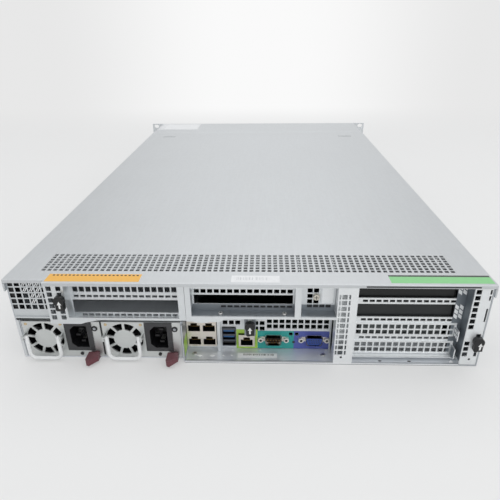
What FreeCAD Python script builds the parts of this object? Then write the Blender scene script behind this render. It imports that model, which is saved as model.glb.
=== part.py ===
import FreeCAD, Part
import math
import os

# Rack server, two units high, built as an assembly of separate pieces.
# Millimetres. X runs to the right as seen from behind, Y to the front, Z up.
# Pieces are drawn with y = 0 on the rear face and move to the object's own frame on saving.

V = FreeCAD.Vector

# Chassis
BODY_WIDTH = 437.0
BODY_HEIGHT = 88.0
EAR_REACH = 22.8
SHEET = 1.2
THIN_SHEET = 1.0
COVER_GAP = 0.2
FIT = 0.3
SEAM = 0.3
RAIL_FLANGE = 8.0
LEFT_RECESS = 6.4
REAR_LIP = 3.0
CORNER_RADIUS = 4.0

# Square perforation of the rear panels
HOLE_PITCH = 6.1
HOLE_SIZE = 4.7
THIN_HOLE = 2.6
NARROW_HOLE = 1.6

# Top cover
TOP_PANEL_LENGTH = 98.0
SKIRT_DROP = 12.0
COVER_LIP_DROP = 3.3
COVER_STEP = 36.0
COVER_FIELD_START = 21.0
COVER_FIELD_ROWS = 7
COVER_ROW_PITCH = 5.08
COVER_HOLE = 3.6
COVER_SLOT_PITCH = 30.48
COVER_FIELD_MARGIN = 30.0
RELEASE_TAB_LENGTH = 24.0
RELEASE_TAB_WIDTH = 12.0
RELEASE_TAB_X = 177.0
RELEASE_TAB_INSET = 42.0
RELEASE_TAB_FLANGE = 1.4

# Power supplies
PSU_WIDTH = 74.6
PSU_HEIGHT = 40.0
PSU_LENGTH = 320.0
PSU_SKIN = 1.4
CAGE_INSET = 2.0
CEILING_SETBACK = 7.0
PSU_FAN_X = 20.5
PSU_FAN_Z = 20.6
PSU_FAN_RADIUS = 17.6
PSU_HUB_RADIUS = 10.6
PSU_SPOKES = 9
SPOKE_WIDTH = 2.4
PSU_FAN_DEPTH = 28.0
PSU_SHAFT_RADIUS = 2.0
RUNNING_FIT = 0.05
BAIL_WIRE = 1.9
BAIL_LEG = 15.0
BAIL_BEND = 6.0
BAIL_PIN = 1.0
BAIL_PIVOT_Z = 26.0
BAIL_PIVOT_OUT = 6.4
BAIL_DROP = 23.5
LUG_WIDTH = 1.6
INLET_X = 41.6
INLET_WIDTH = 24.0
INLET_HEIGHT = 31.0
INLET_Z = 8.0
INLET_DEPTH = 26.0
SOCKET_WIDTH = 16.5
SOCKET_HEIGHT = 24.4
SOCKET_DEPTH = 17.0
SOCKET_CHAMFER = 4.5
TAB_WIDTH = 10.5
TAB_INSET = 3.2
TAB_SLANT = 8.0
TAB_HEIGHT = 6.0
TAB_REACH = 10.0
TAB_Z = 1.0
TAB_TRAVEL = 2.5

# Expansion slots
SLOT_PITCH = 20.32
SLOT_OPENING = 14.0
SLOT_WIDTH = 91.0
RISER_REACH = 240.0
RISER_BOARD = 1.6
CONNECTOR_LENGTH = 89.0
CONNECTOR_HEIGHT = 7.5
CONNECTOR_DEPTH = 11.0
LEFT_SLOT_WIDTH = 102.0
LEFT_SLOT_DEPTH = 11.4
LEFT_STRIP = 18.0
LEFT_POST = 6.0
LEFT_SLOT_Z = 56.0
CENTER_FLANGE = 5.0
CENTER_POST = 5.6
CENTER_SLOT_Z = 64.4
CENTER_SLOT_OPENING = 9.7
CENTER_SHELF = 52.0
RIGHT_SLOT_DEPTH = 12.2
RIGHT_SLOTS = 4
RIGHT_FIRST_SLOT_Z = 12.6
RIGHT_STRIP = 15.4
RIGHT_LEFT_STRIP = 17.6
RIGHT_LIP = 2.4
RIGHT_LEDGE = 5.8
STRIP_MARGIN = 8.0
INNER_STRIP_TOP = 74.6
OUTER_STRIP_TOP = 80.6
EDGE_ROWS_LOW = 66.0
EDGE_SLOT_LOW = 49.7
EDGE_SLOT_HIGH = 63.7
CORNER_HOLE_Z = 13.5
CENTER_SCREW_INSET = 26.0
LEDGE_SCREW_Y = 12.0
BLANK_TAB_WIDTH = 10.0
BLANK_PITCH = 5.7
THUMB_SCREW = 3.4

# Riser latches
LATCH_WIDTH = 10.6
LATCH_HEIGHT = 15.4
LATCH_DEPTH = 5.0
LATCH_TRAVEL = 5.0
LATCH_STEM = 3.6
LATCH_STEM_HEIGHT = 8.0
LEFT_LATCH_Z = 60.0
CENTER_LATCH_Z = 26.0
CENTER_LATCH_X = 62.5
RIGHT_LATCH_Z = 19.4

# Ports at the rear and the main board
IO_DEPTH = 21.2
BOARD_UNDER = 4.0
BOARD_THICKNESS = 1.6
BOARD_LENGTH = 392.0
PORT_PROUD = 3.0
PORT_DEPTH = 21.0
LAN_WIDTH = 28.8
LAN_HEIGHT = 29.2
LAN_PITCH_X = 14.4
LAN_PITCH_Z = 15.8
JACK_WIDTH = 11.7
JACK_HEIGHT = 9.6
JACK_DEPTH = 15.0
USB_X = 41.4
USB_WIDTH = 13.1
USB_HEIGHT = 20.8
USB_COUNT = 3
USB_PITCH = 6.6
USB_OPENING = 4.6
USB_TONGUE = 1.8
MANAGEMENT_X = 58.8
MANAGEMENT_WIDTH = 15.8
MANAGEMENT_HEIGHT = 13.6
SERIAL_X = 84.9
VGA_X = 124.4
DSUB_Z = 7.7
DSUB_WIDTH = 17.4
DSUB_HEIGHT = 9.0
DSUB_REACH = 5.4
DSUB_WALL = 0.8
DSUB_SCREWS = 24.99
DSUB_SCREW_RADIUS = 2.4
DSUB_BODY_WIDTH = 20.0
DSUB_BODY_DEPTH = 11.0
USB_CAVITY = 12.0
IO_VENT_RISE = 28.2
IO_VENT_PITCH = 6.0
DIVIDER_X = 30.4
DIVIDER_WIDTH = 3.0

# Inside
HEATSINK_WIDTH = 90.0
HEATSINK_LENGTH = 106.0
HEATSINK_HEIGHT = 62.0
HEATSINK_FINS = 15
HEATSINK_BASE = 7.0
FIN_THICKNESS = 1.0
MEMORY_LENGTH = 133.0
MEMORY_HEIGHT = 31.0
MEMORY_PITCH = 8.6
MEMORY_PER_BANK = 3
CPU_INSET = 82.7
FAN_SIZE = 80.0
FAN_THICKNESS = 38.0
FAN_BORE = 37.6
FAN_COUNT = 4
FAN_GAP = 31.3
CABLE_SPACE = 81.6
FAN_HUB = 17.0
FAN_BLADES = 5
HUB_SIDES = 12
FAN_TIP_GAP = 1.2
POWER_BOARD_RISE = 16.0
POWER_BOARD_THICKNESS = 2.4
POWER_SOCKET_INSET = 12.0
POWER_SOCKET_DEPTH = 9.6
POWER_SOCKET_HEIGHT = 12.0
SHROUD_WALL = 1.6
SHROUD_TOP = 80.0

# Drive bays and front
BAY_COUNT = 4
BAY_PITCH = 105.6
CARRIER_WIDTH = 102.0
CARRIER_HEIGHT = 25.6
CARRIER_LENGTH = 158.0
CARRIER_WALL = 2.0
BEZEL_DEPTH = 6.0
BAY_FLOOR_GAP = 0.4
CAGE_FRONT_INSET = 2.0
LEVER_LENGTH = 82.0
LEVER_HEIGHT = 14.0
LEVER_THICKNESS = 5.6
LEVER_PIN = 2.0
LEVER_PIN_OUT = 3.4
LUG_HEIGHT = 3.0
BACKPLANE_THICKNESS = 2.4
BACKPLANE_RISE = 26.0
BACKPLANE_HOLE_RISE = 14.0
BACKPLANE_HOLE_WIDTH = 60.0
BACKPLANE_HOLE_HEIGHT = 12.0
DRIVE_SOCKET_WIDTH = 32.0
DRIVE_SOCKET_DEPTH = 8.0
DRIVE_SOCKET_HEIGHT = 10.0
FRONT_VENT_ROWS = 1
FRONT_VENT_PITCH = 68.0
FRONT_VENT_HOLE = 62.0

# Rack ears
EAR_THICKNESS = 2.5
RACK_HOLE_INSET = 8.75
RACK_HOLE_RISE = 76.2
RACK_SLOT_LENGTH = 10.3
RACK_SLOT_HEIGHT = 6.8
EAR_RETURN = 46.0
HANDLE_REACH = 32.0
HANDLE_BAR = 8.0
HANDLE_LOW = 6.0
HANDLE_HIGH = 56.0
CONTROL_LOW = 60.0
CONTROL_HIGH = 84.0
CONTROL_DEPTH = 6.0
BUTTON_RADIUS = 2.7
BUTTON_LENGTH = 9.0
BUTTON_PROUD = 2.0

# Levels and edges that several pieces share
EAR_SPAN = BODY_WIDTH + 2 * EAR_REACH
RACK_HOLE_SPAN = EAR_SPAN - 2 * RACK_HOLE_INSET
BOARD_TOP = BOARD_UNDER + BOARD_THICKNESS
BOARD_REAR = IO_DEPTH + SHEET + SEAM
BOARD_FRONT = BOARD_REAR + BOARD_LENGTH
CPU_Y = BOARD_FRONT - CPU_INSET
FAN_Y = BOARD_FRONT + FAN_GAP
BACKPLANE_Y = FAN_Y + FAN_THICKNESS + CABLE_SPACE
CAGE_BACK = BACKPLANE_Y + BACKPLANE_THICKNESS
BAY_LENGTH = CARRIER_LENGTH + 2.0
CAGE_FRONT = CAGE_BACK + BAY_LENGTH
BODY_DEPTH = CAGE_FRONT + CAGE_FRONT_INSET
FRONT_FACE = BODY_DEPTH - EAR_THICKNESS
COVER_LENGTH = BODY_DEPTH - TOP_PANEL_LENGTH
RELEASE_TAB_Y = COVER_LENGTH - RELEASE_TAB_INSET
REAR_REACH = TAB_REACH
FRONT_REACH = HANDLE_REACH
REAR_Y = REAR_REACH - (REAR_REACH + BODY_DEPTH + FRONT_REACH) / 2
TRAY_HALF = BODY_WIDTH / 2 - SHEET - COVER_GAP
INNER_HALF = TRAY_HALF - SHEET
COVER_UNDER = BODY_HEIGHT - SHEET
TRAY_TOP = COVER_UNDER - COVER_GAP
PANEL_TOP = TRAY_TOP - SHEET - FIT
CAGE_LEFT = -INNER_HALF + CAGE_INSET
PSU_X = [CAGE_LEFT + SHEET + FIT, CAGE_LEFT + 2 * SHEET + 3 * FIT + PSU_WIDTH]
PSU_Z = SHEET + FIT
PSU_REAR = LEFT_RECESS
PSU_FRONT = PSU_REAR + PSU_LENGTH
CAGE_CEILING = PSU_Z + PSU_HEIGHT + FIT
CAGE_TOP = CAGE_CEILING + SHEET
CAGE_RIGHT = PSU_X[1] + PSU_WIDTH + FIT
IO_LEFT = CAGE_RIGHT + SHEET + SEAM
IO_INNER = IO_LEFT + SHEET
RIGHT_END = INNER_HALF - SEAM
RIGHT_WINDOW_END = RIGHT_END - RIGHT_STRIP
RIGHT_WINDOW = RIGHT_WINDOW_END - SLOT_WIDTH - 9.0
RIGHT_START = RIGHT_WINDOW - RIGHT_LEFT_STRIP
LEFT_START = CAGE_LEFT + COVER_STEP - CAGE_INSET
LEFT_WINDOW = LEFT_START + LEFT_STRIP
LEFT_WINDOW_END = LEFT_WINDOW + LEFT_SLOT_WIDTH
LEFT_END = LEFT_WINDOW_END + LEFT_POST
LEFT_LOW = CAGE_TOP + 2 * SEAM
CENTER_START = LEFT_END + SEAM
CENTER_WINDOW = CENTER_START + CENTER_FLANGE
CENTER_WINDOW_END = CENTER_WINDOW + SLOT_WIDTH + 2.5
CENTER_END = CENTER_WINDOW_END + CENTER_POST
BOARD_LEFT = IO_INNER + SEAM
BOARD_RIGHT = INNER_HALF - SEAM
CARRIER_Z = 2 * SHEET + BAY_FLOOR_GAP
BAY_TOP = CARRIER_Z + CARRIER_HEIGHT + BAY_FLOOR_GAP
BAY_CAGE_HALF = BAY_COUNT * BAY_PITCH / 2


def box(x0, x1, y0, y1, z0, z1):
    return Part.makeBox(x1 - x0, y1 - y0, z1 - z0, V(x0, y0, z0))


def rod(x, y, z, direction, radius, length):
    return Part.makeCylinder(radius, length, V(x, y, z), direction)


def ring(x, y, z, direction, outer, inner, length):
    return rod(x, y, z, direction, outer, length).cut(rod(x, y, z, direction, inner, length))


def polygon(a, b, radius, sides):
    turns = [2 * math.pi * (i + 0.5) / sides for i in range(sides)]
    return [(a + radius * math.cos(t), b + radius * math.sin(t)) for t in turns]


def rect(a0, a1, b0, b1):
    return [(a0, b0), (a1, b0), (a1, b1), (a0, b1)]


def prism(outline, holes, corner, direction):
    wires = []
    for points in [outline] + holes:
        corners = [corner(a, b) for a, b in points]
        wires.append(Part.makePolygon(corners + corners[:1]))
    return Part.makeFace(wires, "Part::FaceMakerBullseye").extrude(direction)


def plate_y(outline, holes, y, thickness):
    return prism(outline, holes, lambda a, b: V(a, y, b), V(0, thickness, 0))


def plate_z(outline, holes, z, thickness):
    return prism(outline, holes, lambda a, b: V(a, b, z), V(0, 0, thickness))


def plate_x(outline, holes, x, thickness):
    return prism(outline, holes, lambda a, b: V(x, a, b), V(thickness, 0, 0))


def hole_row(a0, a1, b, pitch, width, height):
    # As many holes as the span takes, centred on it.
    count = int((a1 - a0 - width) / pitch + 1.001)
    first = (a0 + a1 - (count - 1) * pitch) / 2
    centres = [first + i * pitch for i in range(count)]
    return [rect(a - width / 2, a + width / 2, b - height / 2, b + height / 2) for a in centres]


def hole_field(a0, a1, b_top, rows, size=HOLE_SIZE, pitch=HOLE_PITCH):
    holes = []
    for row in range(rows):
        holes += hole_row(a0, a1, b_top - row * pitch, pitch, size, size)
    return holes


def join(shapes):
    return shapes[0].multiFuse(shapes[1:]).removeSplitter()


def group(shapes):
    return Part.makeCompound(shapes)


def save(name, shape):
    shape.translated(V(0, REAR_Y, 0)).exportStep("parts/" + name + ".step")


# Tray

def tray_floor():
    outline = [(-TRAY_HALF, LEFT_RECESS), (IO_LEFT, LEFT_RECESS), (IO_LEFT, 0), (TRAY_HALF, 0),
               (TRAY_HALF, BODY_DEPTH), (-TRAY_HALF, BODY_DEPTH)]
    return plate_z(outline, [], 0, SHEET)


def tray_wall(side, y0):
    outer = side * TRAY_HALF
    inner = side * INNER_HALF
    low = min(outer, inner)
    slots = []
    for share in (1, 3, 5):
        y = share * BODY_DEPTH / 6
        slots.append(rect(y, y + 14.0, 40.0, 46.0))
    wall = plate_x(rect(y0, BODY_DEPTH, 0, TRAY_TOP), slots, low, SHEET)
    edge = side * (TRAY_HALF - RAIL_FLANGE)
    flange = box(min(outer, edge), max(outer, edge), y0 + SHEET, BODY_DEPTH, TRAY_TOP - SHEET, TRAY_TOP)
    return [wall, flange]


def board_standoffs():
    posts = []
    for x in (BOARD_LEFT + 8.0, (BOARD_LEFT + BOARD_RIGHT) / 2, BOARD_RIGHT - 8.0):
        for y in (BOARD_REAR + 10.0, (BOARD_REAR + BOARD_FRONT) / 2, BOARD_FRONT - 10.0):
            posts.append(box(x - 3.0, x + 3.0, y - 3.0, y + 3.0, SHEET, BOARD_UNDER))
    return posts


def chassis_tray():
    pieces = [tray_floor()] + tray_wall(-1, LEFT_RECESS) + tray_wall(1, 0)
    pieces.append(box(IO_LEFT, IO_INNER, 0, IO_DEPTH - SEAM, 0, CAGE_TOP))
    pieces.append(box(IO_LEFT, RIGHT_START - SEAM, 0, SHEET, 0, REAR_LIP))
    pieces.append(box(RIGHT_WINDOW + SEAM, RIGHT_WINDOW_END - SEAM, 0, SHEET, 0, RIGHT_LIP))
    pieces += board_standoffs()
    tray = join(pieces)
    # The tray turns up in a round corner beside the power supplies.
    corner = [e for e in tray.Edges
              if abs(e.CenterOfMass.x - IO_LEFT) < 0.01 and abs(e.CenterOfMass.z) < 0.01
              and e.CenterOfMass.y < LEFT_RECESS]
    return tray.makeFillet(CORNER_RADIUS, corner)


def rear_vent_wall():
    low = CAGE_TOP + HOLE_PITCH / 2
    right = LEFT_START - SEAM
    rows = int((PANEL_TOP - low - HOLE_SIZE) / HOLE_PITCH)
    holes = hole_field(-INNER_HALF, right, PANEL_TOP - HOLE_SIZE / 2 - 0.6, rows)
    wall = plate_y(rect(-INNER_HALF, right, low, PANEL_TOP), holes, LEFT_RECESS, SHEET)
    lip = box(-INNER_HALF, right, LEFT_RECESS - 1.4, LEFT_RECESS, low, low + 1.6)
    foot = box(-INNER_HALF, -INNER_HALF + 4.0, LEFT_RECESS + SHEET, LEFT_RECESS + 14.0, CAGE_TOP, PANEL_TOP)
    return join([wall, lip, foot])


# Cover

def cover_holes():
    holes = []
    half = BODY_WIDTH / 2 - COVER_FIELD_MARGIN
    for row in range(COVER_FIELD_ROWS):
        y = COVER_FIELD_START + COVER_HOLE / 2 + row * COVER_ROW_PITCH
        width = COVER_SLOT_PITCH - COVER_ROW_PITCH + COVER_HOLE
        holes += hole_row(-half, half, y, COVER_SLOT_PITCH, width, COVER_HOLE)
    for side in (-1, 1):
        x = side * RELEASE_TAB_X
        length = RELEASE_TAB_LENGTH / 2 + FIT
        width = RELEASE_TAB_WIDTH / 2 + FIT
        holes.append(rect(x - length, x + length, RELEASE_TAB_Y - width, RELEASE_TAB_Y + width))
    return holes


def top_cover():
    half = BODY_WIDTH / 2
    back = -SHEET - COVER_GAP
    step = LEFT_START - SEAM
    left_back = LEFT_RECESS + back - 1.4
    front = COVER_LENGTH - SEAM
    outline = [(-half, left_back), (step, left_back), (step, back), (half, back), (half, front), (-half, front)]
    pieces = [plate_z(outline, cover_holes(), COVER_UNDER, SHEET)]
    for side in (-1, 1):
        x0 = min(side * half, side * (half - SHEET))
        y0 = back if side > 0 else left_back
        pieces.append(box(x0, x0 + SHEET, y0, front, COVER_UNDER - SKIRT_DROP, BODY_HEIGHT))
    lip_low = BODY_HEIGHT - COVER_LIP_DROP
    pieces.append(box(step - SHEET, half, back, back + SHEET, lip_low, BODY_HEIGHT))
    pieces.append(box(-half, step, left_back, left_back + SHEET, lip_low, BODY_HEIGHT))
    pieces.append(box(step - SHEET, step, back, left_back + SHEET, lip_low, BODY_HEIGHT))
    return join(pieces)


def cover_release_tab(side):
    x = side * RELEASE_TAB_X
    length = RELEASE_TAB_LENGTH / 2
    width = RELEASE_TAB_WIDTH / 2
    flange_top = COVER_UNDER - FIT
    top = box(x - length, x + length, RELEASE_TAB_Y - width, RELEASE_TAB_Y + width, flange_top, BODY_HEIGHT)
    flange = box(x - length - 2, x + length + 2, RELEASE_TAB_Y - width - 2, RELEASE_TAB_Y + width + 2,
                 flange_top - RELEASE_TAB_FLANGE, flange_top)
    groove = box(x - length / 2, x + length / 2, RELEASE_TAB_Y - 1.0, RELEASE_TAB_Y + 1.0,
                 BODY_HEIGHT - 0.8, BODY_HEIGHT + 1)
    return join([top, flange]).cut(groove)


def front_top_panel():
    half = BODY_WIDTH / 2
    low = BAY_TOP + 2 * SHEET
    top = plate_z(rect(-half, half, COVER_LENGTH, FRONT_FACE), [], COVER_UNDER, SHEET)
    pieces = [top]
    for side in (-1, 1):
        x0 = min(side * half, side * (half - SHEET))
        pieces.append(box(x0, x0 + SHEET, COVER_LENGTH, FRONT_FACE, COVER_UNDER - SKIRT_DROP, BODY_HEIGHT))
    inner = INNER_HALF - RAIL_FLANGE - SEAM
    high = COVER_UNDER
    rows = FRONT_VENT_ROWS
    rise = (high - low) / rows
    holes = []
    for row in range(rows):
        holes += hole_row(-inner + 3, inner - 3, low + (row + 0.5) * rise,
                          FRONT_VENT_PITCH, FRONT_VENT_HOLE, rise - 4.0)
    pieces.append(plate_y(rect(-inner, inner, low, high), holes, FRONT_FACE - SHEET, SHEET))
    return join(pieces)


# Power supplies

def power_supply_cage():
    y0 = LEFT_RECESS
    y1 = PSU_FRONT + FIT
    left = box(CAGE_LEFT, CAGE_LEFT + SHEET, y0, y1, SHEET, CAGE_TOP)
    divider = box(PSU_X[1] - FIT - SHEET, PSU_X[1] - FIT, y0 + SEAM, y1, SHEET, CAGE_TOP)
    right = box(CAGE_RIGHT, CAGE_RIGHT + SHEET, y0, y1, SHEET, CAGE_TOP)
    ceiling = box(CAGE_LEFT, CAGE_RIGHT + SHEET, y0 + CEILING_SETBACK, y1, CAGE_CEILING, CAGE_TOP)
    return join([left, divider, right, ceiling])


def fan_sectors(x, z):
    # Openings between the spokes, each a piece of the annulus.
    annulus = ring(x, PSU_REAR - 1, z, V(0, 1, 0), PSU_FAN_RADIUS, PSU_HUB_RADIUS, PSU_SKIN + 2)
    spokes = []
    for i in range(PSU_SPOKES):
        spoke = box(x - SPOKE_WIDTH / 2, x + SPOKE_WIDTH / 2, PSU_REAR - 2, PSU_REAR + PSU_SKIN + 2,
                    z, z + PSU_FAN_RADIUS + 2)
        spoke.rotate(V(x, 0, z), V(0, 1, 0), i * 360.0 / PSU_SPOKES)
        spokes.append(spoke)
    return annulus.cut(join(spokes))


def bail_lug(x0):
    y0 = PSU_REAR - BAIL_PIVOT_OUT - 2.2
    z = PSU_Z + BAIL_PIVOT_Z
    lug = box(x0, x0 + LUG_WIDTH, y0, PSU_REAR, z - 2.4, z + 2.4)
    bore = rod(x0 - 1, PSU_REAR - BAIL_PIVOT_OUT, z, V(1, 0, 0), BAIL_PIN + RUNNING_FIT, LUG_WIDTH + 2)
    return lug.cut(bore)


def lug_starts(x0):
    left_leg = x0 + PSU_FAN_X - BAIL_LEG
    right_leg = x0 + PSU_FAN_X + BAIL_LEG
    return [left_leg - BAIL_WIRE - FIT - LUG_WIDTH, right_leg + BAIL_WIRE + FIT]


def psu_housing(x0):
    x1 = x0 + PSU_WIDTH
    fan_x = x0 + PSU_FAN_X
    fan_z = PSU_Z + PSU_FAN_Z
    shell = box(x0, x1, PSU_REAR, PSU_FRONT, PSU_Z, PSU_Z + PSU_HEIGHT)
    chamber = rod(fan_x, PSU_REAR + PSU_SKIN, fan_z, V(0, 1, 0), PSU_FAN_RADIUS + 0.6, PSU_FAN_DEPTH)
    inlet = box(x0 + INLET_X - SEAM, x0 + INLET_X + INLET_WIDTH + SEAM, PSU_REAR - 1, PSU_REAR + INLET_DEPTH,
                PSU_Z + INLET_Z - SEAM, PSU_Z + INLET_Z + INLET_HEIGHT + SEAM)
    stem = x1 - TAB_INSET
    tab = box(stem - 5.6 - TAB_TRAVEL, stem - 1.0, PSU_REAR - 1, PSU_REAR + 10.0,
              PSU_Z + TAB_Z + 0.7, PSU_Z + TAB_Z + TAB_HEIGHT - 0.7)
    shell = shell.cut(chamber).cut(inlet).cut(tab).cut(fan_sectors(fan_x, fan_z))
    shaft = rod(fan_x, PSU_REAR, fan_z, V(0, 1, 0), PSU_SHAFT_RADIUS, PSU_FAN_DEPTH - 6.0)
    return join([shell, shaft] + [bail_lug(x) for x in lug_starts(x0)])


def blades(x, y, z, count, hub, tip, length, pitch_angle):
    made = []
    for i in range(count):
        blade = box(x - 0.7, x + 0.7, y - length / 2, y + length / 2, z + hub - 1.0, z + tip)
        blade.rotate(V(x, y, z), V(0, 0, 1), pitch_angle)
        blade.rotate(V(x, y, z), V(0, 1, 0), i * 360.0 / count)
        made.append(blade)
    return made


def psu_fan_rotor(x0):
    x = x0 + PSU_FAN_X
    z = PSU_Z + PSU_FAN_Z
    y0 = PSU_REAR + PSU_SKIN + 1.5
    length = PSU_FAN_DEPTH - 8.0
    hub = plate_y(polygon(x, z, PSU_HUB_RADIUS - 1.5, HUB_SIDES), [], y0, length)
    wings = blades(x, y0 + length / 2, z, FAN_BLADES, PSU_HUB_RADIUS - 1.5, PSU_FAN_RADIUS - 1.0,
                   length * 0.7, 32.0)
    bore = rod(x, y0 - 1, z, V(0, 1, 0), PSU_SHAFT_RADIUS + RUNNING_FIT, length + 2)
    return join([hub] + wings).cut(bore)


def bail_handle(x0):
    # A U of eight-sided wire with chamfered corners; its ends turn out into the two lugs.
    y = PSU_REAR - BAIL_PIVOT_OUT
    z = PSU_Z + BAIL_PIVOT_Z
    left = x0 + PSU_FAN_X - BAIL_LEG
    right = x0 + PSU_FAN_X + BAIL_LEG
    low = z - BAIL_DROP
    top = z + BAIL_WIRE
    near = BAIL_BEND * 0.3
    half_path = [(left, top), (left, low + BAIL_BEND), (left + near, low + near), (left + BAIL_BEND, low)]
    other_half = [(left + right - x, height) for x, height in reversed(half_path)]
    path = Part.makePolygon([V(x, y, height) for x, height in half_path + other_half])
    rim = [V(a, b, top) for a, b in polygon(left, y, BAIL_WIRE, 8)]
    wire = path.makePipeShell([Part.makePolygon(rim + rim[:1])], True, False, 1)
    lugs = lug_starts(x0)
    pin_left = rod(lugs[0], y, z, V(1, 0, 0), BAIL_PIN, left - lugs[0])
    pin_right = rod(right, y, z, V(1, 0, 0), BAIL_PIN, lugs[1] + LUG_WIDTH - right)
    return join([wire, pin_left, pin_right])


def psu_release_tab(x0):
    # Thumb tab with a slanting tip, on a narrow stem that reaches into the housing.
    x1 = x0 + PSU_WIDTH - TAB_INSET
    left = x1 - TAB_WIDTH
    z0 = PSU_Z + TAB_Z
    root = PSU_REAR - 2.4
    outline = [(left, root), (x1, root), (x1, TAB_SLANT - TAB_REACH), (left + 3.5, -TAB_REACH),
               (left + 1.0, -TAB_REACH + 0.8), (left, -TAB_REACH + 3.0)]
    grip = plate_z(outline, [], z0, TAB_HEIGHT)
    stem = box(x1 - 5.0, x1 - 2.0, root, PSU_REAR + 8.0, z0 + 1.4, z0 + TAB_HEIGHT - 1.4)
    return join([grip, stem])


def power_inlet(x0):
    # Portrait appliance inlet: two chamfered corners on its left, three flat pins inside.
    left = x0 + INLET_X
    low = PSU_Z + INLET_Z
    block = box(left, left + INLET_WIDTH, PSU_REAR - 1.0, PSU_REAR + INLET_DEPTH - SEAM, low, low + INLET_HEIGHT)
    cx = left + INLET_WIDTH / 2
    cz = low + INLET_HEIGHT / 2
    w = SOCKET_WIDTH / 2
    h = SOCKET_HEIGHT / 2
    c = SOCKET_CHAMFER
    outline = [(cx - w, cz - h + c), (cx - w + c, cz - h), (cx + w, cz - h), (cx + w, cz + h),
               (cx - w + c, cz + h), (cx - w, cz + h - c)]
    cavity = plate_y(outline, [], PSU_REAR - 2.0, SOCKET_DEPTH + 1.0)
    flange = box(left - 1.0, left + INLET_WIDTH + 1.0, PSU_REAR - 1.0, PSU_REAR, low - 0.6, low + INLET_HEIGHT + 0.6)
    pins = []
    for dx, dz in ((2.0, -7.0), (2.0, 7.0), (-2.0, 0.0)):
        pins.append(box(cx + dx - 2.0, cx + dx + 2.0, PSU_REAR + 2.5, PSU_REAR - 1.0 + SOCKET_DEPTH + 0.5,
                        cz + dz - 1.0, cz + dz + 1.0))
    return join([join([block, flange]).cut(cavity)] + pins)


def power_distribution_board():
    y0 = PSU_FRONT + FIT
    y1 = y0 + POWER_BOARD_THICKNESS
    board = box(CAGE_LEFT, CAGE_RIGHT + SHEET, y0, y1, SHEET, CAGE_TOP + POWER_BOARD_RISE)
    pieces = [board]
    z = PSU_Z + 4.0
    for x0 in PSU_X:
        pieces.append(box(x0 + POWER_SOCKET_INSET, x0 + PSU_WIDTH - POWER_SOCKET_INSET, y1, y1 + POWER_SOCKET_DEPTH,
                          z, z + POWER_SOCKET_HEIGHT))
    return join(pieces)


# Riser brackets, cards and latches

def latch_slot(x, z):
    # Slot that lets a latch stem climb by its travel.
    half = LATCH_STEM / 2 + FIT
    low = z + (LATCH_HEIGHT - LATCH_STEM_HEIGHT) / 2 - FIT
    high = low + LATCH_STEM_HEIGHT + LATCH_TRAVEL + 2 * FIT
    return rect(x - half, x + half, low, high)


def strip_holes(x, z0, z1, top, keep_out, width=HOLE_SIZE):
    # One column of square holes down a strip, leaving out those that would break into keep_out.
    holes = []
    z = top
    while z - HOLE_SIZE / 2 > z0 + 1.0:
        low = z - HOLE_SIZE / 2 - 0.8
        high = z + HOLE_SIZE / 2 + 0.8
        if high < z1 and (high < keep_out[0] or low > keep_out[1]):
            holes.append(rect(x - width / 2, x + width / 2, low + 0.8, high - 0.8))
        z -= HOLE_PITCH
    return holes


def slot_span(outline):
    zs = [p[1] for p in outline]
    return (min(zs), max(zs))


def riser_left_bracket():
    t = THIN_SHEET
    latch_x = LEFT_START + LEFT_STRIP - 4.6
    slot = latch_slot(latch_x, LEFT_LATCH_Z)
    step_low = LEFT_WINDOW + 10.0
    step_high = step_low + 15.0
    lip = LEFT_LOW + 5.2
    outline = [(LEFT_START, LEFT_LOW), (step_low, LEFT_LOW), (step_high, lip), (LEFT_END, lip),
               (LEFT_END, PANEL_TOP), (LEFT_START, PANEL_TOP)]
    window = rect(LEFT_WINDOW, LEFT_WINDOW_END, lip + 1.6, PANEL_TOP - SHEET)
    holes = [window, slot]
    holes += strip_holes(LEFT_START + 4.6, LEFT_LOW, PANEL_TOP, PANEL_TOP - 4.0, (0, 0))
    holes += strip_holes(latch_x, LEFT_LOW, PANEL_TOP, PANEL_TOP - 4.0, slot_span(slot))
    pieces = [plate_y(outline, holes, 0, t)]
    plane = LEFT_SLOT_DEPTH
    pieces.append(box(LEFT_START, LEFT_START + t, t, LEFT_RECESS + SHEET, LEFT_LOW, PANEL_TOP))
    pieces.append(box(LEFT_WINDOW - t, LEFT_WINDOW, t, plane, LEFT_LOW, PANEL_TOP))
    pieces.append(box(LEFT_END - t, LEFT_END, t, RISER_REACH, CENTER_SHELF, PANEL_TOP))
    shelf = [(LEFT_WINDOW - t, t), (step_low, t), (step_high, LEFT_RECESS), (LEFT_END, LEFT_RECESS),
             (LEFT_END, plane + t), (LEFT_WINDOW - t, plane + t)]
    pieces.append(plate_z(shelf, [], LEFT_LOW, t))
    top = LEFT_SLOT_Z + SLOT_OPENING / 2
    rows = [rect(LEFT_WINDOW + 1.0, LEFT_WINDOW_END - 1.0, LEFT_SLOT_Z - SLOT_OPENING / 2, top)]
    a0 = LEFT_WINDOW + 1.0
    a1 = LEFT_WINDOW_END - 1.0
    rows += hole_row(a0, a1, top + 11.1, HOLE_PITCH, HOLE_SIZE, 5.6)
    rows += hole_row(a0, a1, top + 3.8, HOLE_PITCH, HOLE_SIZE, THIN_HOLE)
    rows += hole_row(a0 + 4.0, a1, LEFT_SLOT_Z - SLOT_OPENING / 2 - 2.7, HOLE_PITCH, HOLE_SIZE, 2.8)
    pieces.append(plate_y(rect(LEFT_WINDOW - t, LEFT_END, LEFT_LOW, PANEL_TOP), rows, plane, t))
    return join(pieces)


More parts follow.
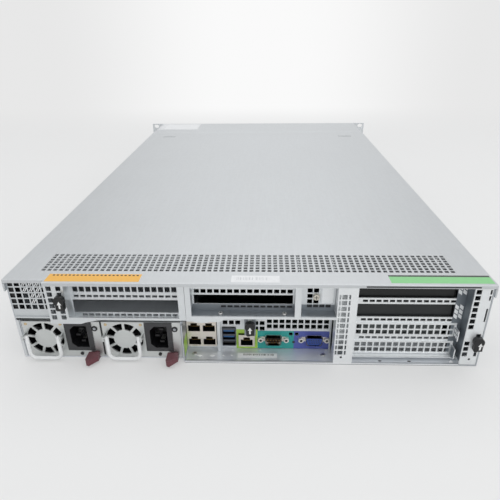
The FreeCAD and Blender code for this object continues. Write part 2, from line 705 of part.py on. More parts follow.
def riser_center_bracket():
    t = THIN_SHEET
    low = CENTER_SHELF
    plane = LEFT_SLOT_DEPTH
    x0 = CENTER_START
    outline = [(x0, low - 4.6), (x0 + 6.0, low - 4.6), (x0 + 9.0, low - 6.0), (x0 + 18.0, low - 6.0),
               (x0 + 21.0, low - 5.0), (x0 + 30.0, low - 5.0), (x0 + 36.0, low - 1.6), (CENTER_END, low - 1.6),
               (CENTER_END, PANEL_TOP), (x0, PANEL_TOP)]
    window = rect(CENTER_WINDOW, CENTER_WINDOW_END, low + t, PANEL_TOP - 2.1)
    pieces = [plate_y(outline, [window], 0, t)]
    for x in (CENTER_WINDOW - t, CENTER_WINDOW_END):
        pieces.append(box(x, x + t, t, plane, low, PANEL_TOP))
    pieces.append(box(CENTER_START, CENTER_END, t, plane + t, low, low + t))
    slot_low = CENTER_SLOT_Z - CENTER_SLOT_OPENING / 2
    slot_high = CENTER_SLOT_Z + CENTER_SLOT_OPENING / 2
    a0 = CENTER_WINDOW + 1.2
    a1 = CENTER_WINDOW_END - 1.2
    rows = [rect(a0, a1, slot_low, slot_high)]
    rows += hole_row(a0, a1, slot_high + 3.8, HOLE_PITCH, HOLE_SIZE, 4.2)
    rows += hole_row(a0 + 24.0, a1, slot_low - 2.8, HOLE_PITCH, HOLE_SIZE, 2.4)
    pieces.append(plate_y(rect(CENTER_WINDOW - t, CENTER_WINDOW_END + t, low, PANEL_TOP), rows, plane, t))
    latch_x = IO_INNER + CENTER_LATCH_X
    slot = latch_slot(latch_x, CENTER_LATCH_Z)
    tongue = rect(latch_x - 5.4, latch_x + 5.4, CENTER_LATCH_Z - 2.0, low + t)
    pieces.append(plate_y(tongue, [slot], plane, t))
    pieces.append(box(CENTER_END - t, CENTER_END, t, RISER_REACH, low, PANEL_TOP))
    return join(pieces)


def right_slot_z(index):
    # Slots count from the bottom.
    return RIGHT_FIRST_SLOT_Z + index * SLOT_PITCH


def riser_right_bracket():
    t = THIN_SHEET
    low = SHEET + FIT
    plane = RIGHT_SLOT_DEPTH
    outline = [(RIGHT_START, low), (RIGHT_WINDOW, low), (RIGHT_WINDOW, PANEL_TOP - 1.3),
               (RIGHT_WINDOW_END, PANEL_TOP - 1.3), (RIGHT_WINDOW_END, low), (RIGHT_END, low),
               (RIGHT_END, PANEL_TOP), (RIGHT_START, PANEL_TOP)]
    latch_x = RIGHT_END - 3.4
    slot = latch_slot(latch_x, RIGHT_LATCH_Z)
    holes = [slot]
    # The perforation of the left strip runs on round both of its folds.
    for x, width in ((1.8, NARROW_HOLE), (5.9, HOLE_SIZE), (10.4, NARROW_HOLE)):
        holes += strip_holes(RIGHT_START + x, low + STRIP_MARGIN, PANEL_TOP, INNER_STRIP_TOP, (0, 0), width)
    latch_low = RIGHT_LATCH_Z + LATCH_HEIGHT - HOLE_SIZE
    holes += strip_holes(RIGHT_WINDOW_END + 3.4, low + STRIP_MARGIN, PANEL_TOP, OUTER_STRIP_TOP,
                         (latch_low, latch_low + 9.0))
    edge_x = RIGHT_END - 1.5
    holes += strip_holes(edge_x, EDGE_ROWS_LOW, PANEL_TOP, OUTER_STRIP_TOP, (0, 0), NARROW_HOLE)
    half = NARROW_HOLE / 2
    holes.append(rect(edge_x - half, edge_x + half, EDGE_SLOT_LOW, EDGE_SLOT_HIGH))
    corner_x = edge_x - 1.0
    half = THIN_HOLE / 2
    holes.append(rect(corner_x - half, corner_x + half, CORNER_HOLE_Z - HOLE_SIZE / 2, CORNER_HOLE_Z + HOLE_SIZE / 2))
    pieces = [plate_y(outline, holes, 0, t)]
    pieces.append(box(RIGHT_WINDOW - t, RIGHT_WINDOW, t, plane, low, PANEL_TOP))
    wall_holes = strip_holes(plane / 2 + 0.5, 30.0, PANEL_TOP, 76.0, (0, 0))
    pieces.append(plate_x(rect(t, plane, low, PANEL_TOP), wall_holes, RIGHT_WINDOW_END, t))
    pieces.append(plate_x(rect(t, RISER_REACH, CAGE_TOP, PANEL_TOP), [], RIGHT_START, t))
    pieces.append(box(RIGHT_START, RIGHT_START + t, t, plane, low, PANEL_TOP))
    pieces.append(box(RIGHT_WINDOW, RIGHT_WINDOW_END, plane - RIGHT_LEDGE, plane, low + 2 * t, low + 3 * t))
    a0 = RIGHT_WINDOW + 3.0
    a1 = a0 + SLOT_WIDTH
    rows = []
    for i in range(RIGHT_SLOTS):
        z = right_slot_z(i)
        rows.append(rect(a0, a1, z - SLOT_OPENING / 2, z + SLOT_OPENING / 2))
        if i:
            rows += hole_row(a0 + 1.5, a1, z - SLOT_PITCH / 2, HOLE_PITCH, HOLE_SIZE, 2.6)
    pieces.append(plate_y(rect(RIGHT_WINDOW - t, RIGHT_WINDOW_END + t, low, PANEL_TOP), rows, plane, t))
    # Outer wall that closes the cage towards the middle of the chassis.
    link = box(RIGHT_START, RIGHT_WINDOW - t, plane, plane + t, low, PANEL_TOP)
    pieces.append(link)
    return join(pieces)


def slot_covers():
    covers = []
    t = THIN_SHEET
    a0 = RIGHT_WINDOW + 1.4
    a1 = RIGHT_WINDOW + SLOT_WIDTH + 5.0
    for i in range(RIGHT_SLOTS - 2):
        z = right_slot_z(i)
        half = SLOT_OPENING / 2 + 0.4
        holes = []
        for dz in (-HOLE_PITCH / 2, HOLE_PITCH / 2):
            holes += hole_row(a0 + 1.0, a1 - 1.0, z + dz, HOLE_PITCH, HOLE_SIZE, HOLE_SIZE)
        cover = plate_y(rect(a0, a1, z - half, z + half), holes, RIGHT_SLOT_DEPTH - t, t)
        tab = box(a1 - t, a1, RIGHT_SLOT_DEPTH - 9.0, RIGHT_SLOT_DEPTH - t, z - half, z + half - 4.0)
        covers.append(join([cover, tab]))
    return group(covers)


def blank_panel():
    t = THIN_SHEET
    x0 = CENTER_END + SEAM
    x1 = RIGHT_START - SEAM
    low = CENTER_SHELF
    plane = LEFT_SLOT_DEPTH
    holes = []
    first = x0 + 5.8
    for dz, count in ((22.3, 2), (16.5, 1), (10.8, 2)):
        last = first + (count - 1) * BLANK_PITCH + HOLE_SIZE
        holes += hole_row(first, last, low + dz, BLANK_PITCH, HOLE_SIZE, HOLE_SIZE)
    holes += hole_row(first, first + 3 * BLANK_PITCH + HOLE_SIZE, low + 6.0, BLANK_PITCH, HOLE_SIZE, 3.4)
    pieces = [plate_y(rect(x0, x1, low, PANEL_TOP), holes, plane, t)]
    pieces.append(box(x0, x1, t, plane, low, low + t))
    pieces.append(box(x0, x1, 0, t, low - 1.6, low + t))
    pieces.append(box(x0, x1, 0, t, PANEL_TOP - 1.6, PANEL_TOP))
    pieces.append(box(x0, x1, t, plane, PANEL_TOP - t, PANEL_TOP))
    tab_left = x1 - BLANK_TAB_WIDTH - 3.4
    pieces.append(box(tab_left, tab_left + BLANK_TAB_WIDTH, plane - 1.6, plane, low + 9.6, PANEL_TOP - 2.0))
    return join(pieces)


def riser_card(x, side, low, slots):
    # Upright board with its slot connectors facing one way.
    y0 = LEFT_SLOT_DEPTH + 46.0
    board = box(x, x + RISER_BOARD, y0, RISER_REACH - 10.0, low, PANEL_TOP - 3.0)
    pieces = [board]
    for z in slots:
        x0 = x + RISER_BOARD if side > 0 else x - CONNECTOR_DEPTH
        pieces.append(box(x0, x0 + CONNECTOR_DEPTH, y0 + 20.0, y0 + 20.0 + CONNECTOR_LENGTH,
                          z - CONNECTOR_HEIGHT / 2, z + CONNECTOR_HEIGHT / 2))
    return join(pieces)


def latch(x, y, z):
    # Thumb latch: a block with a round top, a stem through the slot and a head behind the sheet.
    half = LATCH_WIDTH / 2
    waist = z + LATCH_HEIGHT - half
    front = y - LATCH_DEPTH - FIT
    body = box(x - half, x + half, front, y - FIT, z, waist)
    crown = rod(x, front, waist, V(0, 1, 0), half, LATCH_DEPTH)
    lug_low = z + (LATCH_HEIGHT - LATCH_STEM_HEIGHT) / 2
    stem = box(x - LATCH_STEM / 2, x + LATCH_STEM / 2, y - FIT, y + THIN_SHEET + FIT,
               lug_low, lug_low + LATCH_STEM_HEIGHT)
    head = box(x - LATCH_STEM / 2 - 1.2, x + LATCH_STEM / 2 + 0.8, y + THIN_SHEET + FIT, y + THIN_SHEET + FIT + 1.4,
               lug_low, lug_low + LATCH_STEM_HEIGHT)
    return join([body, crown, stem, head])


# Main board and its ports

def motherboard():
    holes = []
    board = plate_z(rect(BOARD_LEFT, BOARD_RIGHT, BOARD_REAR, BOARD_FRONT), holes, BOARD_UNDER, BOARD_THICKNESS)
    pieces = [board]
    for x in cpu_centres():
        pieces.append(box(x - 38.0, x + 38.0, CPU_Y - 28.0, CPU_Y + 28.0, BOARD_TOP, BOARD_TOP + 4.0))
    return join(pieces)


def cpu_centres():
    bank = MEMORY_PER_BANK * MEMORY_PITCH + 6.0
    span = BOARD_RIGHT - BOARD_LEFT
    gap = (span - 2 * HEATSINK_WIDTH - 3 * bank) / 2
    first = BOARD_LEFT + bank + gap / 2 + HEATSINK_WIDTH / 2
    return [first, first + HEATSINK_WIDTH + bank + gap]


def cpu_heatsinks():
    sinks = []
    low = BOARD_TOP + 4.0
    for x in cpu_centres():
        x0 = x - HEATSINK_WIDTH / 2
        y0 = CPU_Y - HEATSINK_LENGTH / 2
        pieces = [box(x0, x0 + HEATSINK_WIDTH, y0, y0 + HEATSINK_LENGTH, low, low + HEATSINK_BASE)]
        for i in range(HEATSINK_FINS):
            fx = x0 + i * (HEATSINK_WIDTH - FIN_THICKNESS) / (HEATSINK_FINS - 1)
            pieces.append(box(fx, fx + FIN_THICKNESS, y0, y0 + HEATSINK_LENGTH, low, low + HEATSINK_HEIGHT))
        sinks.append(join(pieces))
    return group(sinks)


def memory_modules():
    modules = []
    y0 = CPU_Y - MEMORY_LENGTH / 2
    first, second = cpu_centres()
    bank = (MEMORY_PER_BANK - 1) * MEMORY_PITCH
    half = HEATSINK_WIDTH / 2
    middles = [first - half - 6.0 - bank / 2, (first + second) / 2, second + half + 6.0 + bank / 2]
    for middle in middles:
        for i in range(MEMORY_PER_BANK):
            x = middle - bank / 2 + i * MEMORY_PITCH
            socket = box(x - 3.2, x + 3.2, y0 - 3.0, y0 + MEMORY_LENGTH + 3.0, BOARD_TOP, BOARD_TOP + 8.0)
            module = box(x - 0.7, x + 0.7, y0, y0 + MEMORY_LENGTH, BOARD_TOP + 8.0, BOARD_TOP + MEMORY_HEIGHT)
            modules.append(join([socket, module]))
    return group(modules)


def jack_cut(x, z, y):
    # Opening of a network jack with the narrower step for its latch.
    half = JACK_WIDTH / 2
    low = z - JACK_HEIGHT / 2
    outline = [(x - half, low), (x + half, low), (x + half, low + 7.0), (x + 3.2, low + 7.0),
               (x + 3.2, low + JACK_HEIGHT), (x - 3.2, low + JACK_HEIGHT), (x - 3.2, low + 7.0), (x - half, low + 7.0)]
    return plate_y(outline, [], y - 1.0, JACK_DEPTH + 1.0)


def lan_centres():
    x = IO_INNER + SEAM * 2 + LAN_WIDTH / 2
    z = BOARD_TOP + LAN_HEIGHT / 2
    centres = []
    for dx in (-0.5, 0.5):
        for dz in (-0.5, 0.5):
            centres.append((x + dx * LAN_PITCH_X, z + dz * LAN_PITCH_Z))
    return centres


def lan_ports():
    x0 = IO_INNER + SEAM * 2
    y0 = IO_DEPTH - PORT_PROUD
    block = box(x0, x0 + LAN_WIDTH, y0, y0 + PORT_DEPTH, BOARD_TOP, BOARD_TOP + LAN_HEIGHT)
    for x, z in lan_centres():
        block = block.cut(jack_cut(x, z, y0))
    return block


def management_port():
    x = IO_INNER + MANAGEMENT_X
    y0 = IO_DEPTH - PORT_PROUD
    half = MANAGEMENT_WIDTH / 2
    block = box(x - half, x + half, y0, y0 + PORT_DEPTH, BOARD_TOP, BOARD_TOP + MANAGEMENT_HEIGHT)
    return block.cut(jack_cut(x, BOARD_TOP + MANAGEMENT_HEIGHT / 2 - 0.6, y0))


def usb_ports():
    x = IO_INNER + USB_X
    y0 = IO_DEPTH - PORT_PROUD + 1.0
    half = USB_WIDTH / 2
    block = box(x - half, x + half, y0, y0 + PORT_DEPTH, BOARD_TOP, BOARD_TOP + USB_HEIGHT)
    tongues = []
    for i in range(USB_COUNT):
        z = BOARD_TOP + 0.9 + USB_OPENING / 2 + i * USB_PITCH
        block = block.cut(box(x - half + 0.6, x + half - 0.6, y0 - 1, y0 + USB_CAVITY,
                              z - USB_OPENING / 2, z + USB_OPENING / 2))
        tongues.append(box(x - half + 1.4, x + half - 1.4, y0 + 0.8, y0 + USB_CAVITY,
                           z + 0.2, z + 0.2 + USB_TONGUE))
    return join([block] + tongues)


def dsub_outline(x, z, grow):
    w = DSUB_WIDTH / 2 + grow
    h = DSUB_HEIGHT / 2 + grow
    return [(x - w + 2.0, z - h), (x + w - 2.0, z - h), (x + w, z + h), (x - w, z + h)]


def dsub_port(x):
    z = BOARD_TOP + DSUB_Z
    back = IO_DEPTH + SHEET + SEAM
    shell = plate_y(dsub_outline(x, z, 0), [], IO_DEPTH - DSUB_REACH, DSUB_REACH + SHEET + SEAM)
    shell = shell.cut(plate_y(dsub_outline(x, z, -DSUB_WALL), [], IO_DEPTH - DSUB_REACH - 1, DSUB_REACH + 1.0))
    flange = box(x - 15.6, x + 15.6, back, back + 1.0, z - 6.2, z + 6.2)
    half = DSUB_BODY_WIDTH / 2
    body = box(x - half, x + half, back + 1.0, back + 1.0 + DSUB_BODY_DEPTH, BOARD_TOP, z + 5.6)
    pieces = [shell, flange, body]
    for side in (-1, 1):
        sx = x + side * DSUB_SCREWS / 2
        pieces.append(plate_y(polygon(sx, z, DSUB_SCREW_RADIUS, 6), [], IO_DEPTH - 3.4, 3.4 + SHEET + SEAM))
    return join(pieces)


def io_panel():
    x0 = IO_INNER + SEAM
    x1 = RIGHT_START - SEAM
    low = BOARD_UNDER - 2.5
    cuts = []
    lan = IO_INNER + SEAM * 2
    cuts.append(rect(lan - FIT + SEAM, lan + LAN_WIDTH + FIT, BOARD_TOP - FIT, BOARD_TOP + LAN_HEIGHT + FIT))
    usb = IO_INNER + USB_X
    cuts.append(rect(usb - USB_WIDTH / 2 - FIT, usb + USB_WIDTH / 2 + FIT,
                     BOARD_TOP - FIT, BOARD_TOP + USB_HEIGHT + FIT))
    port = IO_INNER + MANAGEMENT_X
    cuts.append(rect(port - MANAGEMENT_WIDTH / 2 - FIT, port + MANAGEMENT_WIDTH / 2 + FIT,
                     BOARD_TOP - FIT, BOARD_TOP + MANAGEMENT_HEIGHT + FIT))
    z = BOARD_TOP + DSUB_Z
    for centre in (IO_INNER + SERIAL_X, IO_INNER + VGA_X):
        cuts.append(dsub_outline(centre, z, FIT))
        for side in (-1, 1):
            cuts.append(polygon(centre + side * DSUB_SCREWS / 2, z, DSUB_SCREW_RADIUS + FIT, 6))
    vent_low = usb + USB_WIDTH / 2 + FIT
    cuts += hole_row(usb - USB_WIDTH / 2 - 1.0, vent_low + 6.0, BOARD_TOP + USB_HEIGHT + 5.6,
                     HOLE_PITCH, HOLE_SIZE, HOLE_SIZE)
    cuts += hole_row(port + 6.0, port + 18.0, BOARD_TOP + 25.8, HOLE_PITCH, HOLE_SIZE, HOLE_SIZE)
    cuts += hole_row(port + 6.0, port + 18.0, BOARD_TOP + 19.6, HOLE_PITCH, HOLE_SIZE, HOLE_SIZE)
    for row in range(2):
        vent_z = BOARD_TOP + IO_VENT_RISE - row * IO_VENT_PITCH
        cuts += hole_row(port + 19.0, x1 - 2.0, vent_z, HOLE_PITCH, HOLE_SIZE, HOLE_SIZE)
    middle = (IO_INNER + SERIAL_X + IO_INNER + VGA_X) / 2
    cuts += hole_row(middle - 5.4, middle + 5.4, BOARD_TOP + 13.4, 5.8, HOLE_SIZE - 1.0, HOLE_SIZE - 1.0)
    panel = plate_y(rect(x0, x1, low, CENTER_SHELF - FIT), cuts, IO_DEPTH, SHEET)
    post = box(IO_INNER + DIVIDER_X, IO_INNER + DIVIDER_X + DIVIDER_WIDTH, IO_DEPTH - 5.0, IO_DEPTH,
               low, BOARD_TOP + LAN_HEIGHT + 2.0)
    return join([panel, post])


# Fans and air path

def fan_centres():
    pitch = 2 * (INNER_HALF - 2 * FIT) / FAN_COUNT
    return [-INNER_HALF + 2 * FIT + pitch * (i + 0.5) for i in range(FAN_COUNT)]


def fan_z():
    return SHEET + FAN_SIZE / 2


def fan_wall():
    # Sheet wall with a twelve-sided window for each fan and a fold along its foot.
    y0 = FAN_Y + FAN_THICKNESS
    windows = [polygon(x, fan_z(), FAN_BORE, HUB_SIDES) for x in fan_centres()]
    wall = plate_y(rect(-INNER_HALF, INNER_HALF, SHEET, PANEL_TOP), windows, y0, SHEET)
    foot = box(-INNER_HALF, INNER_HALF, y0, y0 + 14.0, SHEET, 2 * SHEET)
    return join([wall, foot])


def fan_housings():
    fans = []
    z = fan_z()
    half = FAN_SIZE / 2
    for x in fan_centres():
        frame = box(x - half, x + half, FAN_Y, FAN_Y + FAN_THICKNESS, z - half, z + half)
        frame = frame.cut(rod(x, FAN_Y - 1, z, V(0, 1, 0), FAN_BORE, FAN_THICKNESS + 2))
        plate_low = FAN_Y + FAN_THICKNESS - 3.0
        pieces = [frame, plate_y(polygon(x, z, FAN_HUB, HUB_SIDES), [], plate_low, 3.0)]
        for angle in (45, 135, 225, 315):
            strut = box(x - 1.5, x + 1.5, plate_low, plate_low + 3.0, z + FAN_HUB - 1.0, z + FAN_BORE + 0.5)
            strut.rotate(V(x, 0, z), V(0, 1, 0), angle)
            pieces.append(strut)
        pieces.append(rod(x, FAN_Y + 8.0, z, V(0, 1, 0), PSU_SHAFT_RADIUS, FAN_THICKNESS - 10.0))
        fans.append(join(pieces))
    return group(fans)


def fan_rotor(x):
    z = fan_z()
    y0 = FAN_Y + 4.0
    length = FAN_THICKNESS - 9.0
    hub = plate_y(polygon(x, z, FAN_HUB, HUB_SIDES), [], y0, length)
    wings = blades(x, y0 + length / 2, z, FAN_BLADES, FAN_HUB, FAN_BORE - FAN_TIP_GAP, length * 0.8, 38.0)
    bore = rod(x, y0 - 1, z, V(0, 1, 0), PSU_SHAFT_RADIUS + RUNNING_FIT, length + 2)
    return join([hub] + wings).cut(bore)


def air_shroud():
    y0 = CPU_Y - HEATSINK_LENGTH / 2 - 20.0
    y1 = BOARD_FRONT - 4.0
    x0 = BOARD_LEFT + SEAM
    x1 = BOARD_RIGHT - SEAM
    roof = box(x0, x1, y0, y1, SHROUD_TOP - SHROUD_WALL, SHROUD_TOP)
    pieces = [roof]
    for x in (x0, x1 - SHROUD_WALL):
        pieces.append(box(x, x + SHROUD_WALL, y0, y1, BOARD_TOP, SHROUD_TOP))
    return join(pieces)


# Drive bays

def bay_centres():
    return [-BAY_CAGE_HALF + BAY_PITCH * (i + 0.5) for i in range(BAY_COUNT)]


def drive_cage():
    floor = box(-BAY_CAGE_HALF - SHEET, BAY_CAGE_HALF + SHEET, CAGE_BACK, CAGE_FRONT, SHEET, 2 * SHEET)
    roof = box(-BAY_CAGE_HALF - SHEET, BAY_CAGE_HALF + SHEET, CAGE_BACK, CAGE_FRONT, BAY_TOP, BAY_TOP + SHEET)
    pieces = [floor, roof]
    for i in range(BAY_COUNT + 1):
        x = -BAY_CAGE_HALF + i * BAY_PITCH
        pieces.append(box(x - SHEET / 2, x + SHEET / 2, CAGE_BACK, CAGE_FRONT, SHEET, BAY_TOP + SHEET))
    return join(pieces)


def drive_backplane():
    y0 = BACKPLANE_Y
    windows = hole_row(-BAY_CAGE_HALF, BAY_CAGE_HALF, BAY_TOP + BACKPLANE_HOLE_RISE, BAY_PITCH,
                       BACKPLANE_HOLE_WIDTH, BACKPLANE_HOLE_HEIGHT)
    outline = rect(-BAY_CAGE_HALF, BAY_CAGE_HALF, 2 * SHEET, BAY_TOP + BACKPLANE_RISE)
    board = plate_y(outline, windows, y0, BACKPLANE_THICKNESS)
    pieces = [board]
    for x in bay_centres():
        pieces.append(box(x - DRIVE_SOCKET_WIDTH / 2, x + DRIVE_SOCKET_WIDTH / 2, y0 - DRIVE_SOCKET_DEPTH, y0,
                          CARRIER_Z + 4.0, CARRIER_Z + 4.0 + DRIVE_SOCKET_HEIGHT))
    return join(pieces)


def lever_pin_place(x):
    return (x + LEVER_LENGTH / 2, BODY_DEPTH + BEZEL_DEPTH + LEVER_PIN_OUT)


def drive_carrier(x):
    # Front bezel with a vent slot, open tray behind it and two lugs for the lever pin.
    half = CARRIER_WIDTH / 2
    z0 = CARRIER_Z
    z1 = z0 + CARRIER_HEIGHT
    back = CAGE_FRONT - CARRIER_LENGTH + 2.0
    front = BODY_DEPTH
    vents = hole_row(x - half + 4.0, x + half - 4.0, z1 - 3.4, 18.0, 15.0, 2.8)
    bezel = plate_y(rect(x - half, x + half, z0, z1), vents, front, BEZEL_DEPTH)
    inner = half - 1.0
    floor = box(x - inner, x + inner, back, front, z0, z0 + CARRIER_WALL)
    pieces = [bezel, floor]
    for side in (-1, 1):
        x0 = x - inner if side < 0 else x + inner - CARRIER_WALL
        pieces.append(box(x0, x0 + CARRIER_WALL, back, front, z0, z1 - 5.0))
    px, py = lever_pin_place(x)
    zc = (z0 + z1) / 2
    gap = LEVER_HEIGHT / 2 + FIT
    for side in (-1, 1):
        low = zc + gap if side > 0 else zc - gap - LUG_HEIGHT
        lug = box(px - 3.4, px + 3.4, front + BEZEL_DEPTH, py + 3.4, low, low + LUG_HEIGHT)
        lug = lug.cut(rod(px, py, low - 1, V(0, 0, 1), LEVER_PIN + RUNNING_FIT, LUG_HEIGHT + 2))
        pieces.append(lug)
    return join(pieces)


def drive_lever(x):
    px, py = lever_pin_place(x)
    zc = CARRIER_Z + CARRIER_HEIGHT / 2
    back = BODY_DEPTH + BEZEL_DEPTH + FIT
    half = LEVER_HEIGHT / 2
    window = rect(px - LEVER_LENGTH + 14.0, px - 22.0, zc - half + 3.0, zc + half - 3.0)
    bar = plate_y(rect(px - LEVER_LENGTH, px, zc - half, zc + half), [window], back, LEVER_THICKNESS)
    knuckle = plate_z(polygon(px, py, py - back, HUB_SIDES), [], zc - half, LEVER_HEIGHT)
    reach = half + FIT + LUG_HEIGHT
    pin = rod(px, py, zc - reach, V(0, 0, 1), LEVER_PIN, 2 * reach)
    return join([bar, knuckle, pin])


# Front ears and controls

def rack_slot(x, z):
    radius = RACK_SLOT_HEIGHT / 2
    reach = RACK_SLOT_LENGTH / 2 - radius
    y = FRONT_FACE - 1.0
    depth = EAR_THICKNESS + 2.0
    ends = [rod(x + side * reach, y, z, V(0, 1, 0), radius, depth) for side in (-1, 1)]
    return join(ends + [box(x - reach, x + reach, y, y + depth, z - radius, z + radius)])


def ear(side, control):
    # Flange with two rack slots, a return screwed to the tray side and a pull handle.
    x_in = TRAY_HALF
    x_out = EAR_SPAN / 2
    mid = BODY_HEIGHT / 2
    flange = plate_y(rect(x_in, x_out, 0.5, BODY_HEIGHT - 0.5), [], FRONT_FACE, EAR_THICKNESS)
    for dz in (-0.5, 0.5):
        flange = flange.cut(rack_slot(RACK_HOLE_SPAN / 2, mid + dz * RACK_HOLE_RISE))
    back = box(x_in, x_in + SHEET, FRONT_FACE - EAR_RETURN, FRONT_FACE, 4.0, COVER_UNDER - SKIRT_DROP - 2.0)
    hx0 = x_in + 1.6
    hx1 = hx0 + HANDLE_BAR
    front = BODY_DEPTH + HANDLE_REACH
    low_arm = box(hx0, hx1, BODY_DEPTH, front, HANDLE_LOW, HANDLE_LOW + HANDLE_BAR)
    high_arm = box(hx0, hx1, BODY_DEPTH, front, HANDLE_HIGH - HANDLE_BAR, HANDLE_HIGH)
    bar = box(hx0, hx1, front - HANDLE_BAR, front, HANDLE_LOW, HANDLE_HIGH)
    handle = join([low_arm, high_arm, bar])
    edges = [e for e in handle.Edges if abs(e.CenterOfMass.y - front) < 0.01
             and abs(e.Vertexes[0].Point.x - e.Vertexes[1].Point.x) > 1]
    pieces = [flange, back, handle.makeFillet(HANDLE_BAR * 0.6, edges)]
    if control:
        pieces.append(box(hx0, hx1, BODY_DEPTH, BODY_DEPTH + CONTROL_DEPTH, CONTROL_LOW, CONTROL_HIGH))
    whole = join(pieces)
    if control:
        for z in button_heights():
            whole = whole.cut(rod(button_x(), FRONT_FACE - 1, z, V(0, 1, 0), BUTTON_RADIUS + RUNNING_FIT,
                                  CONTROL_DEPTH + EAR_THICKNESS + 2))
    if side < 0:
        whole = whole.mirror(V(0, 0, 0), V(1, 0, 0))
    return whole


def button_x():
    return TRAY_HALF + 1.6 + HANDLE_BAR / 2


def button_heights():
    span = CONTROL_HIGH - CONTROL_LOW
    return [CONTROL_LOW + span * 0.72, CONTROL_LOW + span * 0.28]


def push_button(z):
    front = BODY_DEPTH + CONTROL_DEPTH + BUTTON_PROUD
    return rod(button_x(), front - BUTTON_LENGTH, z, V(0, 1, 0), BUTTON_RADIUS, BUTTON_LENGTH)


def screws():
    made = []
    t = THIN_SHEET
    for x in (CENTER_WINDOW + CENTER_SCREW_INSET, CENTER_WINDOW_END - 9.0):
        made.append(plate_z(polygon(x, LEFT_SLOT_DEPTH - 6.0, 2.4, 6), [], CENTER_SHELF + t, 1.2))
    for x in (IO_INNER + 8.0, RIGHT_START - 8.0):
        made.append(plate_z(polygon(x, LEDGE_SCREW_Y, 2.6, 6), [], SHEET, 1.2))
    blank_x = CENTER_END + SEAM + 5.8 + BLANK_PITCH + HOLE_SIZE / 2
    made.append(plate_y(polygon(blank_x, CENTER_SHELF + 16.5, THUMB_SCREW, HUB_SIDES), [],
                        LEFT_SLOT_DEPTH - 3.0, 3.0))
    return group(made)


# Build every piece

def build():
    os.makedirs("parts", exist_ok=True)
    save("chassis_tray", chassis_tray())
    save("top_cover", top_cover())
    save("front_top_panel", front_top_panel())
    save("cover_release_tab_left", cover_release_tab(-1))
    save("cover_release_tab_right", cover_release_tab(1))
    save("power_supply_cage", power_supply_cage())
    save("rear_vent_wall", rear_vent_wall())
    save("io_panel", io_panel())
    save("riser_left_bracket", riser_left_bracket())
    save("riser_center_bracket", riser_center_bracket())
    save("riser_right_bracket", riser_right_bracket())
    save("blank_panel", blank_panel())
    save("riser_left_latch", latch(LEFT_START + LEFT_STRIP - 4.6, 0, LEFT_LATCH_Z))
    save("riser_center_latch", latch(IO_INNER + CENTER_LATCH_X, LEFT_SLOT_DEPTH, CENTER_LATCH_Z))
    save("riser_right_latch", latch(RIGHT_END - 3.4, 0, RIGHT_LATCH_Z))
    save("slot_covers", slot_covers())
    low = BOARD_TOP + 4.0
    save("riser_left_card", riser_card(LEFT_END - THIN_SHEET - RISER_BOARD, -1, CAGE_TOP + 2.0, [LEFT_SLOT_Z]))
    save("riser_center_card", riser_card(CENTER_END - THIN_SHEET - RISER_BOARD, -1, low, [CENTER_SLOT_Z]))
    right_slots = [right_slot_z(i) for i in range(RIGHT_SLOTS)]
    save("riser_right_card", riser_card(RIGHT_START + THIN_SHEET, 1, low, right_slots[1:]))
    save("motherboard", motherboard())
    save("lan_ports", lan_ports())
    save("usb_ports", usb_ports())
    save("management_port", management_port())
    save("serial_port", dsub_port(IO_INNER + SERIAL_X))
    save("vga_port", dsub_port(IO_INNER + VGA_X))
    for name, x0 in (("left", PSU_X[0]), ("right", PSU_X[1])):
        save("psu_" + name + "_housing", psu_housing(x0))
        save("psu_" + name + "_fan_rotor", psu_fan_rotor(x0))
        save("psu_" + name + "_bail_handle", bail_handle(x0))
        save("psu_" + name + "_release_tab", psu_release_tab(x0))
        save("psu_" + name + "_power_inlet", power_inlet(x0))
    save("power_distribution_board", power_distribution_board())
    save("cpu_heatsinks", cpu_heatsinks())
    save("memory_modules", memory_modules())
    save("air_shroud", air_shroud())
    save("fan_wall", fan_wall())
    save("fan_housings", fan_housings())
    for number, x in enumerate(fan_centres(), 1):
        save("fan_rotor_%d" % number, fan_rotor(x))
    save("drive_cage", drive_cage())
    save("drive_backplane", drive_backplane())
    for number, x in enumerate(bay_centres(), 1):
        save("drive_carrier_%d" % number, drive_carrier(x))
        save("drive_lever_%d" % number, drive_lever(x))
    save("ear_left", ear(-1, False))
    save("ear_right", ear(1, True))
    high, lower = button_heights()
    save("power_button", push_button(high))
    save("identify_button", push_button(lower))
    save("screws", screws())


build()
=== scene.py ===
import math

import bmesh
import bpy
from mathutils import Matrix, Vector


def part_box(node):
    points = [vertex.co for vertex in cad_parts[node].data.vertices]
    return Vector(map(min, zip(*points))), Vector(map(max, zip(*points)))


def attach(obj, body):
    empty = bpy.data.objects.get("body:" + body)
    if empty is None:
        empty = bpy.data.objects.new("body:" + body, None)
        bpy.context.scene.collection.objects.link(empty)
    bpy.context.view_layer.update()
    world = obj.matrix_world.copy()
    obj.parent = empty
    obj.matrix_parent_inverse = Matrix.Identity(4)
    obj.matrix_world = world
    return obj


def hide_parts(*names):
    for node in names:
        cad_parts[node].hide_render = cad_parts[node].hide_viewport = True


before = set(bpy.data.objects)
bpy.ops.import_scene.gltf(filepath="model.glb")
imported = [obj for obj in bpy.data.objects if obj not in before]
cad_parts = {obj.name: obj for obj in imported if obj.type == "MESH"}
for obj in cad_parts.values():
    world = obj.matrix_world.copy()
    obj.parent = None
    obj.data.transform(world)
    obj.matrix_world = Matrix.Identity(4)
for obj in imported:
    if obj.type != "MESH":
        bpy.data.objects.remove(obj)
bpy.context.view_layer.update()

print("frame loaded,", len(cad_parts), "CAD nodes")

# Millimetres below are counted from the rear face of the server, so that y = 0 is that face.
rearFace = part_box("riser_right_bracket")[0].y


def mm(x, y, z):
    return Vector((x / 1000, rearFace + y / 1000, z / 1000))


def feed(tree, socket, value):
    # Another node's output is linked, and a number or a colour is set on the socket itself.
    if isinstance(value, bpy.types.NodeSocket):
        tree.links.new(value, socket)
    elif value is not None:
        socket.default_value = value


